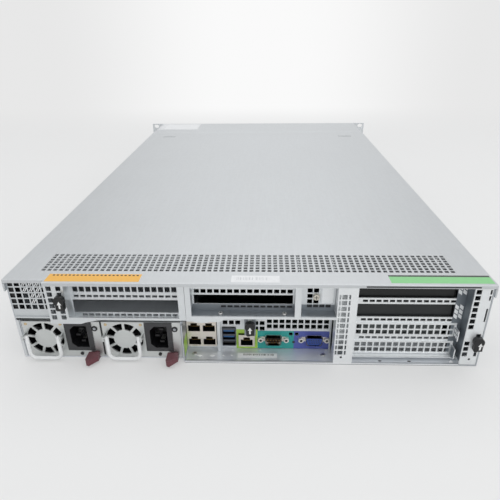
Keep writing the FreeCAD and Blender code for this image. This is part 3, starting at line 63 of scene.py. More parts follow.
def addNode(tree, kind, **inputs):
    # In the names of the sockets an underscore stands for a space.
    node = tree.nodes.new("ShaderNode" + kind)
    for label, value in inputs.items():
        feed(tree, node.inputs[label.replace("_", " ")], value)
    return node


def mathNode(tree, operation, a, b=None, clamp=False):
    node = addNode(tree, "Math")
    node.operation = operation
    node.use_clamp = clamp
    feed(tree, node.inputs[0], a)
    feed(tree, node.inputs[1], b)
    return node.outputs[0]


def noiseNode(tree, vector, scale, detail=3.0, roughness=0.55):
    node = addNode(tree, "TexNoise", Vector=vector, Scale=scale, Detail=detail, Roughness=roughness)
    return node.outputs[0]


def rampNode(tree, value, low, high, start=0.0, end=1.0):
    node = addNode(tree, "MapRange", Value=value, From_Min=low, From_Max=high, To_Min=start, To_Max=end)
    node.interpolation_type = "SMOOTHSTEP"
    return node.outputs[0]


def mixColours(tree, share, first, second):
    node = addNode(tree, "Mix")
    node.data_type = "RGBA"
    feed(tree, node.inputs["Factor"], share)
    for index, colour in ((6, first), (7, second)):
        feed(tree, node.inputs[index], (*colour, 1) if isinstance(colour, tuple) else colour)
    return node.outputs[2]


def objectPlace(tree):
    return addNode(tree, "TexCoord").outputs["Object"]


def splitVector(tree, vector):
    return addNode(tree, "SeparateXYZ", Vector=vector).outputs


def swing(tree, texture, amount):
    # Turns a texture between 0 and 1 into a change about 0.
    return mathNode(tree, "MULTIPLY", mathNode(tree, "SUBTRACT", texture, 0.5), amount)


def newGroup(name, inputs, outputs):
    # A socket called Colour holds a colour, and every other one a number.
    group = bpy.data.node_groups.new(name, "ShaderNodeTree")
    for way, labels in (("INPUT", inputs), ("OUTPUT", outputs)):
        for label in labels:
            kind = "NodeSocketColor" if label == "Colour" else "NodeSocketFloat"
            socket = group.interface.new_socket(label, in_out=way, socket_type=kind)
            if way == "INPUT":
                socket.default_value = inputs[label]
    return group, group.nodes.new("NodeGroupInput").outputs, group.nodes.new("NodeGroupOutput").inputs


sheetLook = {"stretch": 0.045, "cloudScale": 9.0, "spangleScale": 260.0, "fleck": 0.025, "streak": 0.10,
             "streakRoughness": 1.2, "cloudRoughness": 0.8, "spangleHeight": 0.3}


def makeSheetGroup():
    # Rolled sheet: long fine grain, soft cloudy patches and a little spangle.
    group, start, end = newGroup(
        "rolledSheet",
        {"Colour": (0.6, 0.62, 0.64, 1), "Grain Scale": 900.0, "Cloud": 0.06, "Roughness": 0.4},
        ("Colour", "Roughness", "Height"))
    look = sheetLook
    place = objectPlace(group)
    stretched = addNode(group, "Mapping", Vector=place, Scale=(1.0, look["stretch"], 1.0)).outputs[0]
    grain = noiseNode(group, stretched, start["Grain Scale"], 2.0, 0.6)
    cloud = noiseNode(group, place, look["cloudScale"], 4.0)
    spangle = addNode(group, "TexVoronoi", Vector=place, Scale=look["spangleScale"]).outputs
    tone = swing(group, cloud, start["Cloud"])
    fleck = swing(group, spangle["Color"], look["fleck"])
    streak = swing(group, grain, look["streak"])
    total = mathNode(group, "ADD", mathNode(group, "ADD", tone, fleck), mathNode(group, "ADD", streak, 1.0))
    tint = addNode(group, "VectorMath")
    tint.operation = "SCALE"
    feed(group, tint.inputs[0], start["Colour"])
    feed(group, tint.inputs["Scale"], total)
    rough = mathNode(group, "ADD", start["Roughness"],
                     mathNode(group, "MULTIPLY", streak, look["streakRoughness"]))
    rough = mathNode(group, "ADD", rough,
                     mathNode(group, "MULTIPLY", tone, look["cloudRoughness"]), clamp=True)
    raised = mathNode(group, "MULTIPLY", spangle["Distance"], look["spangleHeight"])
    feed(group, end["Colour"], tint.outputs[0])
    feed(group, end["Roughness"], rough)
    feed(group, end["Height"], mathNode(group, "ADD", grain, raised))
    return group


plasticLook = {"cloudScale": 60.0, "cloudRoughness": 0.22, "dust": (0.55, 0.54, 0.52)}


def makePlasticGroup():
    # Moulded plastic: fine spark texture, faint flow clouds and pale dust on what faces up.
    group, start, end = newGroup(
        "mouldedPlastic",
        {"Colour": (0.03, 0.03, 0.03, 1), "Grain Scale": 2600.0, "Dust": 0.05, "Roughness": 0.5},
        ("Colour", "Roughness", "Height"))
    place = objectPlace(group)
    grain = noiseNode(group, place, start["Grain Scale"], 2.0)
    cloud = noiseNode(group, place, plasticLook["cloudScale"], 4.0)
    normal = splitVector(group, addNode(group, "NewGeometry").outputs["Normal"])
    upward = mathNode(group, "MULTIPLY", normal["Z"], cloud, clamp=True)
    dusty = mathNode(group, "MULTIPLY", upward, start["Dust"])
    rough = swing(group, cloud, plasticLook["cloudRoughness"])
    feed(group, end["Colour"], mixColours(group, dusty, start["Colour"], plasticLook["dust"]))
    feed(group, end["Roughness"], mathNode(group, "ADD", start["Roughness"], rough, clamp=True))
    feed(group, end["Height"], grain)
    return group


def makeRearGroup():
    # Mask that is 1 behind a plane across Y and below a level, for painted shade: a dark throat, or a floor
    # in shade.
    group, start, end = newGroup("rearMask", {"Level": 1.0, "Plane": 0.0}, ("Mask",))
    place = splitVector(group, objectPlace(group))
    low = mathNode(group, "LESS_THAN", place["Z"], start["Level"])
    back = mathNode(group, "GREATER_THAN", place["Y"], start["Plane"])
    feed(group, end["Mask"], mathNode(group, "MULTIPLY", low, back))
    return group


sheetGroup = makeSheetGroup()
plasticGroup = makePlasticGroup()
rearGroup = makeRearGroup()
print("node groups made")

materials = {}


def newMaterial(name):
    material = materials[name] = bpy.data.materials.new(name)
    material.use_nodes = True
    return material.node_tree, material.node_tree.nodes["Principled BSDF"]


def placeGroup(tree, group, values):
    node = addNode(tree, "Group")
    node.node_tree = group
    for label, value in values.items():
        node.inputs[label].default_value = value
    return node.outputs


def bumpFrom(tree, shader, height, strength, distance):
    # The distance is in millimetres.
    bump = addNode(tree, "Bump", Strength=strength, Distance=distance / 1000, Height=height)
    tree.links.new(bump.outputs["Normal"], shader.inputs["Normal"])


def behindPlane(tree, plane, level=1000.0):
    return placeGroup(tree, rearGroup, {"Plane": rearFace + plane / 1000, "Level": level / 1000})["Mask"]


# The two fan chambers of the power supplies, which the throat shade on their zinc keeps to.
chamber = {"middleX": -153.7, "halfGap": 38.2, "axisZ": 22.1, "radius": 18.4}


def chamberMask(tree):
    # 1 inside either fan chamber, seen along Y, and 0 on the walls round them.
    place = splitVector(tree, objectPlace(tree))
    across = mathNode(tree, "ABSOLUTE", mathNode(tree, "SUBTRACT", place["X"], chamber["middleX"] / 1000))
    across = mathNode(tree, "SUBTRACT", across, chamber["halfGap"] / 1000)
    up = mathNode(tree, "SUBTRACT", place["Z"], chamber["axisZ"] / 1000)
    square = mathNode(tree, "ADD", mathNode(tree, "MULTIPLY", across, across),
                      mathNode(tree, "MULTIPLY", up, up))
    return mathNode(tree, "LESS_THAN", square, (chamber["radius"] / 1000) ** 2)


def metalSheet(name, colour, roughness, metallic, cloud=0.08, grain=900.0, bump=0.12):
    tree, shader = newMaterial(name)
    sheet = placeGroup(tree, sheetGroup, {"Colour": (*colour, 1), "Roughness": roughness, "Cloud": cloud,
                                          "Grain Scale": grain})
    base = sheet["Colour"]
    shader.inputs["Metallic"].default_value = metallic
    feed(tree, shader.inputs["Roughness"], sheet["Roughness"])
    bumpFrom(tree, shader, sheet["Height"], bump, 0.2)
    # Painted shade: behind its plane the sheet takes the listed colour and turns less metallic.
    shade = sheetShades.get(name)
    if shade:
        mask = behindPlane(tree, shade["plane"], shade["level"])
        if "chamberOnly" in shade:
            mask = mathNode(tree, "MULTIPLY", mask, chamberMask(tree))
        base = mixColours(tree, mask, base, shade["colour"])
        if shade["duller"]:
            duller = mathNode(tree, "MULTIPLY", mask, shade["duller"])
            feed(tree, shader.inputs["Metallic"], mathNode(tree, "SUBTRACT", metallic, duller, clamp=True))
    feed(tree, shader.inputs["Base Color"], base)


def plastic(name, colour, roughness, dust=0.05, coat=0.0, shadePlane=None, grain=2600.0, bump=0.2,
            relief=0.15):
    tree, shader = newMaterial(name)
    mould = placeGroup(tree, plasticGroup, {"Colour": (*colour, 1), "Roughness": roughness, "Dust": dust,
                                            "Grain Scale": grain})
    base = mould["Colour"]
    # Painted shade: near black behind the plane, in the throat of an opening.
    if shadePlane:
        base = mixColours(tree, behindPlane(tree, shadePlane), base, (0.004, 0.004, 0.005))
    shader.inputs["Coat Weight"].default_value = coat
    feed(tree, shader.inputs["Roughness"], mould["Roughness"])
    bumpFrom(tree, shader, mould["Height"], bump, relief)
    feed(tree, shader.inputs["Base Color"], base)


def circuitBoard(name, colour, tracePitch):
    # Solder mask with fine raised traces and small pale pads.
    tree, shader = newMaterial(name)
    place = objectPlace(tree)
    red, green, blue = colour
    bricks = addNode(tree, "TexBrick", Vector=place, Scale=tracePitch / 4, Color1=(*colour, 1),
                     Color2=(red * 1.6, green * 1.35, blue * 1.4, 1),
                     Mortar=(red * 0.5, green * 0.7, blue * 0.6, 1)).outputs
    pads = addNode(tree, "TexVoronoi", Vector=place, Scale=tracePitch / 3)
    mask = mathNode(tree, "LESS_THAN", pads.outputs["Distance"], 0.12)
    feed(tree, shader.inputs["Base Color"], mixColours(tree, mask, bricks["Color"], (0.13, 0.12, 0.09)))
    shader.inputs["Roughness"].default_value = 0.35
    bumpFrom(tree, shader, bricks["Fac"], 0.25, 0.1)


def printedLabel(name, colour, inkColour=None, barScale=None, inkLevel=None):
    # Vinyl label, plain or with generic fine bars across it.
    tree, shader = newMaterial(name)
    place = objectPlace(tree)
    mottle = noiseNode(tree, place, 300.0)
    base = mixColours(tree, mottle, tuple(c * 0.93 for c in colour),
                      tuple(min(1.0, c * 1.05) for c in colour))
    if inkColour:
        squeezed = addNode(tree, "Mapping", Vector=place, Scale=(1.0, 0.0, 0.0)).outputs[0]
        bars = noiseNode(tree, squeezed, barScale, 0.0)
        base = mixColours(tree, mathNode(tree, "LESS_THAN", bars, inkLevel), base, inkColour)
    feed(tree, shader.inputs["Base Color"], base)
    shader.inputs["Roughness"].default_value = 0.38
    bumpFrom(tree, shader, mottle, 0.1, 0.1)


# Where a sheet changes behind the rear face, with painted shade: near black in the throats of the vent,
# jacks,
# USB and supply fan chambers, darker low on the centre shelf, and a paler, less metallic tone for the tray
# floor in shade. Plane and level in mm, colour, and how much less metallic.
throatPaintedShade = {"level": 1000.0, "colour": (0.006, 0.006, 0.007), "duller": 1.0}
sheetShades = {
    "traySteel": {"plane": 1.6, "level": 1.5, "colour": (0.78, 0.81, 0.85), "duller": 0.4},
    "shelfSteel": {"plane": 1.4, "level": 59.5, "colour": (0.30, 0.325, 0.35), "duller": 0.0},
    "ventSteel": {"plane": 6.6, **throatPaintedShade},
    "zincSteel": {"plane": 8.0, **throatPaintedShade, "chamberOnly": True},
    "jackShell": {"plane": 18.55, **throatPaintedShade},
    "usbShell": {"plane": 19.5, **throatPaintedShade},
}

# Colour, roughness, metallic, and where they differ the cloud, the grain's scale and the bump.
sheets = {
    "lidSteel": ((0.65, 0.67, 0.685), 0.44, 0.70, 0.05, 700.0, 0.08),
    "traySteel": ((0.55, 0.58, 0.61), 0.38, 0.82),
    "cageSteel": ((0.76, 0.785, 0.80), 0.38, 0.72),
    "paleSteel": ((0.86, 0.88, 0.89), 0.38, 0.55),
    "ventSteel": ((0.68, 0.705, 0.72), 0.38, 0.75),
    # A copy of cageSteel that carries painted shade low behind the rear face.
    "shelfSteel": ((0.76, 0.785, 0.80), 0.38, 0.72),
    "innerSteel": ((0.45, 0.465, 0.485), 0.5, 0.80),
    "zincSteel": ((0.70, 0.72, 0.71), 0.36, 0.80, 0.05, 1200.0, 0.1),
    "jackShell": ((0.80, 0.74, 0.67), 0.34, 0.6),
    "usbShell": ((0.10, 0.11, 0.13), 0.36, 0.6),
    "connectorShell": ((0.86, 0.82, 0.76), 0.3, 0.55),
    "screwSteel": ((0.66, 0.66, 0.64), 0.3, 0.95, 0.1, 2500.0),
    "brass": ((0.72, 0.56, 0.34), 0.3, 0.95, 0.1, 2500.0),
    "thumbSteel": ((0.66, 0.62, 0.54), 0.34, 0.9, 0.1, 2500.0),
    # Gold darkened by painted shade, for contacts deep in their sockets.
    "goldContact": ((0.45, 0.30, 0.12), 0.3, 1.0, 0.1, 3000.0),
    "shadeSteel": ((0.20, 0.225, 0.25), 0.45, 0.6),
    # Steel darkened by painted shade, for plates seen through the slot covers.
    "dimSteel": ((0.36, 0.375, 0.39), 0.5, 0.5),
    "dimSteelHigh": ((0.15, 0.165, 0.165), 0.5, 0.5),
    "finAluminium": ((0.75, 0.76, 0.77), 0.35, 0.95),
}

# Colour, roughness, and where they differ the dust, the coat, the plane behind which a throat is painted
# near black as shade, the grain's scale, the bump and its depth.
plastics = {
    "blackPlastic": ((0.012, 0.012, 0.013), 0.45),
    "latchPlastic": ((0.006, 0.006, 0.0065), 0.38, 0.02, 0.1),
    "fanPlastic": ((0.012, 0.012, 0.013), 0.42),
    "inletPlastic": ((0.045, 0.045, 0.048), 0.5, 0.05, 0.0, 6.2),
    "leverPlastic": ((0.05, 0.052, 0.056), 0.42),
    "maroonPlastic": ((0.14, 0.038, 0.05), 0.42, 0.16, 0.05),
    "greyPlastic": ((0.36, 0.38, 0.40), 0.45),
    "tabPlastic": ((0.50, 0.52, 0.53), 0.42),
    "usbBlue": ((0.02, 0.10, 0.26), 0.35, 0.0),
    "insertBlue": ((0.03, 0.07, 0.30), 0.4, 0.0),
    "insertDark": ((0.035, 0.018, 0.015), 0.4, 0.0),
    "shroudPlastic": ((0.02, 0.02, 0.022), 0.25, 0.05, 0.3),
    "bailWire": ((0.82, 0.83, 0.83), 0.28, 0.0, 0.4, None, 500.0, 0.1, 0.2),
}

boards = {"boardGreen": ((0.006, 0.014, 0.011), 900.0), "memoryGreen": ((0.006, 0.024, 0.016), 1400.0)}

# Colour, and for a print its ink, the scale of its bars and the noise level below which they are inked.
prints = {
    # Riser boards seen through the slots, darkened by painted shade, the upper more than the lower.
    "dimBoard": ((0.003, 0.0035, 0.0035),),
    "dimBoardLow": ((0.012, 0.014, 0.015),),
    "labelOrange": ((0.85, 0.47, 0.10),),
    "labelGreen": ((0.27, 0.62, 0.28),),
    "labelGreenEdge": ((0.06, 0.075, 0.065),),
    "labelWhite": ((0.79, 0.80, 0.81),),
    "labelFaint": ((0.80, 0.81, 0.82), (0.50, 0.51, 0.53), 1500.0, 0.44),
    "labelBars": ((0.84, 0.84, 0.83), (0.04, 0.04, 0.045), 2200.0, 0.485),
    "labelTeal": ((0.03, 0.36, 0.33),),
    "labelBlue": ((0.09, 0.12, 0.42),),
    "labelLime": ((0.45, 0.72, 0.10),),
    # Near black for print, and for painted shade in holes, slits, screw crosses and gaps.
    "markDark": ((0.02, 0.02, 0.022),),
    "markWhite": ((0.85, 0.85, 0.84),),
    # White for painted light: highlights on rivets, the lip's edge and vent slivers, light through wall
    # openings, and a label brightened against its recess's shade.
    "whiteGlow": ((0.90, 0.91, 0.92),),
}

for makeFinish, looks in ((metalSheet, sheets), (plastic, plastics), (circuitBoard, boards),
                          (printedLabel, prints)):
    for name, values in looks.items():
        makeFinish(name, *values)
print("materials made,", len(materials))

# The CAD nodes that carry each finish.
nodeFinish = {
    "traySteel": "chassis_tray power_supply_cage",
    "ventSteel": "rear_vent_wall",
    "cageSteel": "io_panel riser_left_bracket ear_left ear_right",
    "shelfSteel": "riser_center_bracket blank_panel",
    "paleSteel": "riser_right_bracket slot_covers",
    "innerSteel": "fan_wall drive_cage",
    "zincSteel": "psu_left_housing psu_right_housing",
    "jackShell": "lan_ports management_port",
    "usbShell": "usb_ports",
    "finAluminium": "cpu_heatsinks",
    "memoryGreen": "memory_modules",
    "boardGreen": "motherboard riser_left_card riser_center_card riser_right_card power_distribution_board"
                  " drive_backplane",
    "shroudPlastic": "air_shroud",
    "tabPlastic": "cover_release_tab_left cover_release_tab_right",
    "latchPlastic": "riser_left_latch riser_center_latch riser_right_latch",
    "greyPlastic": "power_button identify_button",
    "maroonPlastic": "psu_left_release_tab psu_right_release_tab",
    "inletPlastic": "psu_left_power_inlet psu_right_power_inlet",
    "fanPlastic": "fan_housings fan_rotor_1 fan_rotor_2 fan_rotor_3 fan_rotor_4 psu_left_fan_rotor"
                  " psu_right_fan_rotor",
    "blackPlastic": "drive_carrier_1 drive_carrier_2 drive_carrier_3 drive_carrier_4",
    "leverPlastic": "drive_lever_1 drive_lever_2 drive_lever_3 drive_lever_4",
}
for finish, nodes in nodeFinish.items():
    for node in nodes.split():
        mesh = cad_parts[node].data
        mesh.materials.clear()
        mesh.materials.append(materials[finish])


def closeMesh(name, bm, finish, smooth=False):
    # Turns a bmesh into an object of the scene. A closed shell that still faces inwards is turned out.
    bmesh.ops.recalc_face_normals(bm, faces=bm.faces)
    if all(e.is_manifold for e in bm.edges) and bm.calc_volume(signed=True) < 0:
        bmesh.ops.reverse_faces(bm, faces=bm.faces)
    mesh = bpy.data.meshes.new(name)
    bm.to_mesh(mesh)
    bm.free()
    mesh.materials.append(materials[finish])
    for polygon in mesh.polygons:
        polygon.use_smooth = smooth
    piece = bpy.data.objects.new(name, mesh)
    bpy.context.scene.collection.objects.link(piece)
    return piece


def addPiece(name, bm, body, finish, smooth=False):
    # The piece rides on a CAD body.
    piece = closeMesh(name, bm, finish, smooth)
    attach(piece, body)
    return piece


def addBox(bm, low, high):
    # Low and high are corners in millimetres from the rear face.
    a, b = mm(*low), mm(*high)
    made = bmesh.ops.create_cube(bm, size=1.0)["verts"]
    bmesh.ops.scale(bm, vec=b - a, verts=made)
    bmesh.ops.translate(bm, vec=(a + b) / 2, verts=made)
    return made


def addDisc(bm, centre, radius, depth, facing="y", sides=20, radius2=None):
    # Short round boss whose front is towards the rear of the server (y), up (z) or sideways (x).
    made = bmesh.ops.create_cone(bm, cap_ends=True, segments=sides, radius1=radius / 1000,
                                 radius2=(radius if radius2 is None else radius2) / 1000,
                                 depth=depth / 1000)["verts"]
    if facing != "z":
        turn = Matrix.Rotation(math.radians(90), 3, "X" if facing == "y" else "Y")
        bmesh.ops.rotate(bm, cent=(0, 0, 0), matrix=turn, verts=made)
    bmesh.ops.translate(bm, vec=mm(*centre), verts=made)
    return made


def bevelSharp(bm, offset, segments=2, perUnit=1000):
    edges = [e for e in bm.edges if len(e.link_faces) == 2 and e.calc_face_angle(0) > 0.5]
    bmesh.ops.bevel(bm, geom=edges, offset=offset / perUnit, segments=segments, profile=0.5,
                    affect="EDGES", clamp_overlap=True, material=-1)


def drawOut(bm, edges, offset):
    # Draws new faces out from open edges, and gives back the edges at their far side.
    grown = bmesh.ops.extrude_edge_only(bm, edges=edges)["geom"]
    ring = [g for g in grown if isinstance(g, bmesh.types.BMVert)]
    bmesh.ops.translate(bm, vec=offset, verts=ring)
    return [g for g in grown if isinstance(g, bmesh.types.BMEdge) and all(v in ring for v in g.verts)]


def formPiece(name, body, finish, boxes=(), discs=(), bevel=0.0):
    # Piece of plain boxes, two corners each, and of discs, each with what addDisc takes.
    bm = bmesh.new()
    for low, high in boxes:
        addBox(bm, low, high)
    for disc in discs:
        addDisc(bm, *disc)
    if bevel:
        bevelSharp(bm, bevel)
    return addPiece(name, bm, body, finish)


def addSheet(bm, outline, holes=()):
    # One flat face at height 0, cut along the edges of its square holes, and with the holes taken out.
    a0, a1, b0, b1 = outline
    made = bmesh.ops.create_grid(bm, x_segments=1, y_segments=1, size=0.5)["verts"]
    bmesh.ops.scale(bm, vec=(a1 - a0, b1 - b0, 1), verts=made)
    bmesh.ops.translate(bm, vec=((a0 + a1) / 2, (b0 + b1) / 2, 0), verts=made)
    near = 1e-4
    for axis, low, high in ((0, a0, a1), (1, b0, b1)):
        normal = Vector((1 - axis, axis, 0))
        for cut in sorted({round(hole[2 * axis + k], 4) for hole in holes for k in (0, 1)}):
            if low + near < cut < high - near:
                bmesh.ops.bisect_plane(bm, geom=bm.verts[:] + bm.edges[:] + bm.faces[:],
                                       plane_co=normal * cut, plane_no=normal, dist=1e-6)
    gone = []
    for face in bm.faces:
        x, y, z = face.calc_center_median()
        if any(hole[0] < x < hole[1] and hole[2] < y < hole[3] for hole in holes):
            gone.append(face)
    bmesh.ops.delete(bm, geom=gone, context="FACES")


def platePiece(name, plane, level, outline, holes, thickness, body, finish):
    # Sheet with square holes. Plane z lies flat, and plane y stands across the rear.
    bm = bmesh.new()
    addSheet(bm, outline, holes)
    bmesh.ops.solidify(bm, geom=bm.faces[:], thickness=thickness)
    low = min(v.co.z for v in bm.verts)
    bmesh.ops.translate(bm, vec=(0, 0, -low), verts=bm.verts)
    for v in bm.verts:
        x, y, z = v.co.x, v.co.y, level + v.co.z
        v.co = mm(x, y, z) if plane == "z" else mm(x, z, y)
    return addPiece(name, bm, body, finish)


def squareRow(first, pitch, count, size, middle):
    half = size / 2
    return [(first + i * pitch - half, first + i * pitch + half, middle - half, middle + half)
            for i in range(count)]


def addWire(bm, points, radius, bend, sides=14, steps=6):
    # Round wire through right-angled runs across the rear, with a round bend at each corner.
    points = [mm(*p) for p in points]
    turn = bend / 1000
    first = (points[1] - points[0]).normalized()
    aim = Vector((0, 0, 1)).rotation_difference(first).to_matrix()
    made = bmesh.ops.create_circle(bm, cap_ends=False, segments=sides, radius=radius / 1000)["verts"]
    bmesh.ops.rotate(bm, cent=(0, 0, 0), matrix=aim, verts=made)
    bmesh.ops.translate(bm, vec=points[0], verts=made)
    loop = [e for e in bm.edges if all(v in made for v in e.verts)]
    startLoop = list(loop)
    at = points[0]
    for i in range(1, len(points)):
        along = (points[i] - points[i - 1]).normalized()
        last = i == len(points) - 1
        stop = points[i] if last else points[i] - along * turn
        loop = drawOut(bm, loop, stop - at)
        if not last:
            onward = (points[i + 1] - points[i]).normalized()
            spun = bmesh.ops.spin(bm, geom=loop, cent=stop + onward * turn, axis=along.cross(onward),
                                  dvec=(0, 0, 0), angle=math.radians(90), steps=steps, use_duplicate=False)
            loop = [g for g in spun["geom_last"] if isinstance(g, bmesh.types.BMEdge)]
            at = points[i] + onward * turn
    bmesh.ops.edgeloop_fill(bm, edges=startLoop)
    bmesh.ops.edgeloop_fill(bm, edges=loop)


def foldedPiece(name, bm, form, body):
    # Rounds the folds of a flat sheet's edges, lifts it to its height and gives it its wall.
    bevelSharp(bm, form["fold"], segments=4, perUnit=1)
    for v in bm.verts:
        v.co = mm(v.co.x, v.co.y, form["top"] + v.co.z)
    piece = addPiece(name, bm, body, "lidSteel")
    wall = piece.modifiers.new("wall", "SOLIDIFY")
    wall.thickness = form["sheet"] / 1000
    wall.offset = -1
    wall.use_even_offset = True
    return piece


lid = {"halfWidth": 218.5, "front": 631.7, "back": -1.4, "leftBack": 3.6, "step": -180.2, "top": 87.94,
       "sheet": 1.2, "skirt": 12.0, "lip": 3.3, "fold": 1.6, "holeSize": 3.6, "holePitch": 5.53,
       "rowPitch": 5.08, "columns": 69, "rows": 7, "firstRow": 23.3, "tabX": 177.0, "tabY": 590.0,
       "tabHalf": (12.3, 6.3), "gapX": (106.0, 204.0), "gapZ": (85.3, 86.7)}


def lidHoles():
    holes = []
    first = -(lid["columns"] - 1) * lid["holePitch"] / 2
    for row in range(lid["rows"]):
        holes += squareRow(first, lid["holePitch"], lid["columns"], lid["holeSize"],
                           lid["firstRow"] + row * lid["rowPitch"])
    halfX, halfY = lid["tabHalf"]
    for x in (-lid["tabX"], lid["tabX"]):
        holes.append((x - halfX, x + halfX, lid["tabY"] - halfY, lid["tabY"] + halfY))
    return holes


def makeLid():
    # One flat face with its holes, then the folds are drawn down from its edge and rounded.
    half, back, leftBack, step, front = (lid[k] for k in ("halfWidth", "back", "leftBack", "step", "front"))
    corner = (-half - 1, step, back - 1, leftBack)  # set back over the left power supply
    bm = bmesh.new()
    addSheet(bm, (-half, half, back, front), lidHoles() + [corner])

    def rim(test):
        return [e for e in bm.edges if len(e.link_faces) == 1 and all(test(v.co) for v in e.verts)]

    near = 1e-3
    folds = rim(lambda c: abs(abs(c.x) - half) < near)
    folds += rim(lambda c: abs(c.y - back) < near and c.x > step - near)
    folds += rim(lambda c: abs(c.y - leftBack) < near and c.x < step + near)
    folds += rim(lambda c: abs(c.x - step) < near and c.y < leftBack + near)
    drawOut(bm, folds, (0, 0, -lid["lip"]))
    sides = rim(lambda c: abs(abs(c.x) - half) < near and c.z < -near)
    drawOut(bm, sides, (0, 0, lid["lip"] - lid["skirt"]))
    piece = foldedPiece("lid", bm, lid, "cover")
    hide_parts("top_cover")


labels = {"lift": 0.004, "thickness": 0.05, "dots": (-174.0, 3.66, 22, 2.0, 13.0),
          "labelOrange": (-178.6, -93.6, 1.6, 15.2), "labelWhite": (-12.0, 31.0, 1.9, 14.0),
          "labelWhitePrint": (-8.0, 22.0, 5.9, 11.0), "labelGreen": (128.0, 216.8, 2.2, 13.6),
          "labelGreenEdge": (128.0, 216.8, 13.6, 16.4)}


def makeLidLabels():
    top, thickness = lid["top"] + labels["lift"], labels["thickness"]
    dots = squareRow(*labels["dots"])
    platePiece("labelOrange", "z", top, labels["labelOrange"], dots, thickness, "cover", "labelOrange")
    formPiece("labelOrangeHoles", "cover", "markDark",
              [((a0, b0, top - 0.002), (a1, b1, top + 0.02)) for a0, a1, b0, b1 in dots])
    platePiece("labelWhite", "z", top, labels["labelWhite"], [], thickness, "cover", "labelWhite")
    platePiece("labelWhitePrint", "z", top + thickness, labels["labelWhitePrint"], [], 0.01, "cover",
               "labelFaint")
    for name in ("labelGreen", "labelGreenEdge"):
        platePiece(name, "z", top, labels[name], [], thickness, "cover", name)
    # Painted shadow: a dark line where the rear lip stands off the right cage.
    (x0, x1), (z0, z1), back = lid["gapX"], lid["gapZ"], lid["back"]
    formPiece("lidGapShadow", "cover", "markDark", [((x0, back - 0.06, z0), (x1, back + 0.02, z1))])


makeLid()
makeLidLabels()
print("lid made")

topPanel = {"halfWidth": 218.5, "back": 632.0, "front": 727.5, "top": 87.94, "skirt": 12.0, "sheet": 1.2,
            "fold": 1.6, "frame": (-214.0, -128.0, 660.0, 722.0), "label": (-202.0, -131.0, 666.0, 714.0)}
grille = {"outline": (-206.0, 206.0, 31.3, 86.6), "plane": 726.3, "rows": 9, "columns": 67, "hole": 4.4,
          "pitch": 6.0, "rowPitch": 5.8, "first": (-201.0, 35.6)}


def makeTopPanel():
    half = topPanel["halfWidth"]
    bm = bmesh.new()
    addSheet(bm, (-half, half, topPanel["back"], topPanel["front"]))
    folds = [e for e in bm.edges if all(abs(abs(v.co.x) - half) < 1e-3 for v in e.verts)]
    drawOut(bm, folds, (0, 0, -topPanel["skirt"]))
    piece = foldedPiece("topPanel", bm, topPanel, "base")
    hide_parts("front_top_panel")


def makeGrille():
    holes = []
    x, z = grille["first"]
    for row in range(grille["rows"]):
        shift = 0.0 if row % 2 else grille["pitch"] / 2
        holes += squareRow(x + shift, grille["pitch"], grille["columns"], grille["hole"],
                           z + row * grille["rowPitch"])
    platePiece("frontGrille", "y", grille["plane"], grille["outline"], holes, topPanel["sheet"], "base",
               "traySteel")


def makePanelLabel():
    # Plain white label with a grey frame near the front corner.
    top = topPanel["top"] + labels["lift"]
    platePiece("panelLabelFrame", "z", top, topPanel["frame"], [], 0.04, "base", "labelFaint")
    platePiece("panelLabel", "z", top + 0.04, topPanel["label"], [], 0.01, "base", "labelWhite")


makeTopPanel()
makeGrille()
makePanelLabel()
print("front top panel made")

supply = {"starts": {"left": -212.4, "right": -136.0}, "face": 6.4, "fanX": 20.5, "rivetX": 16.6,
          "rivetZ": 38.5, "bailLeg": 15.0, "wire": 1.85, "pivotZ": 27.5, "bailTop": 29.3, "bailLow": 4.0,
          "bend": 6.2, "light": (69.2, 33.9), "screw": (53.0, 4.9), "pinHalf": (2.05, 1.05),
          "pinDepth": (11.5, 20.0), "pins": ((55.6, 18.0), (55.6, 32.0), (51.6, 25.0))}


def makeSupply(side):
    body, face, start = "psu_" + side, supply["face"], supply["starts"][side]
    fanX = start + supply["fanX"]
    left, right = fanX - supply["bailLeg"], fanX + supply["bailLeg"]
    low, top = supply["bailLow"], supply["bailTop"]
    bm = bmesh.new()
    addWire(bm, [(left, 0, top), (left, 0, low), (right, 0, low), (right, 0, top)], supply["wire"],
            supply["bend"])
    for x in (left - 1.8, right + 1.8):
        addDisc(bm, (x, 0, supply["pivotZ"]), 1.0, 4.0, "x", 12)
    bail = addPiece("bail_" + side, bm, body + "_bail", "bailWire", smooth=True)
    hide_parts(body + "_bail_handle")
    # Small fittings on the face: rivets at the fan, status light, screw and the inlet's pins.
    formPiece("fanRivets_" + side, body, "brass",
              discs=[((fanX + x, face - 0.25, supply["rivetZ"]), 1.5, 0.5, "y", 20, 1.2)
                     for x in (-supply["rivetX"], supply["rivetX"])])
    (lightX, lightZ), (screwX, screwZ) = supply["light"], supply["screw"]
    formPiece("lightRing_" + side, body, "latchPlastic", bevel=0.2,
              discs=[((start + lightX, face - 0.3, lightZ), 2.9, 0.6),
                     ((start + screwX, face - 0.5, screwZ), 1.7, 1.0)])
    formPiece("lightLens_" + side, body, "greyPlastic",
              discs=[((start + lightX, face - 0.62, lightZ), 1.4, 0.3)])
    (halfX, halfZ), (near, far) = supply["pinHalf"], supply["pinDepth"]
    formPiece("inletPins_" + side, body, "screwSteel", bevel=0.35,
              boxes=[((start + x - halfX, near, z - halfZ), (start + x + halfX, far, z + halfZ))
                     for x, z in supply["pins"]])


for side in supply["starts"]:
    makeSupply(side)
print("power supplies made")

ports = {"panel": 21.2, "jacks": ((-50.6, 12.3), (-50.6, 28.1), (-36.2, 12.3), (-36.2, 28.1), (0.4, 11.8)),
         "springs": 8, "springPitch": 1.02, "springLean": -14, "usbX": -17.0, "usbHalf": 5.25,
         "usbDepth": (19.8, 31.1), "stickerThickness": 0.1}


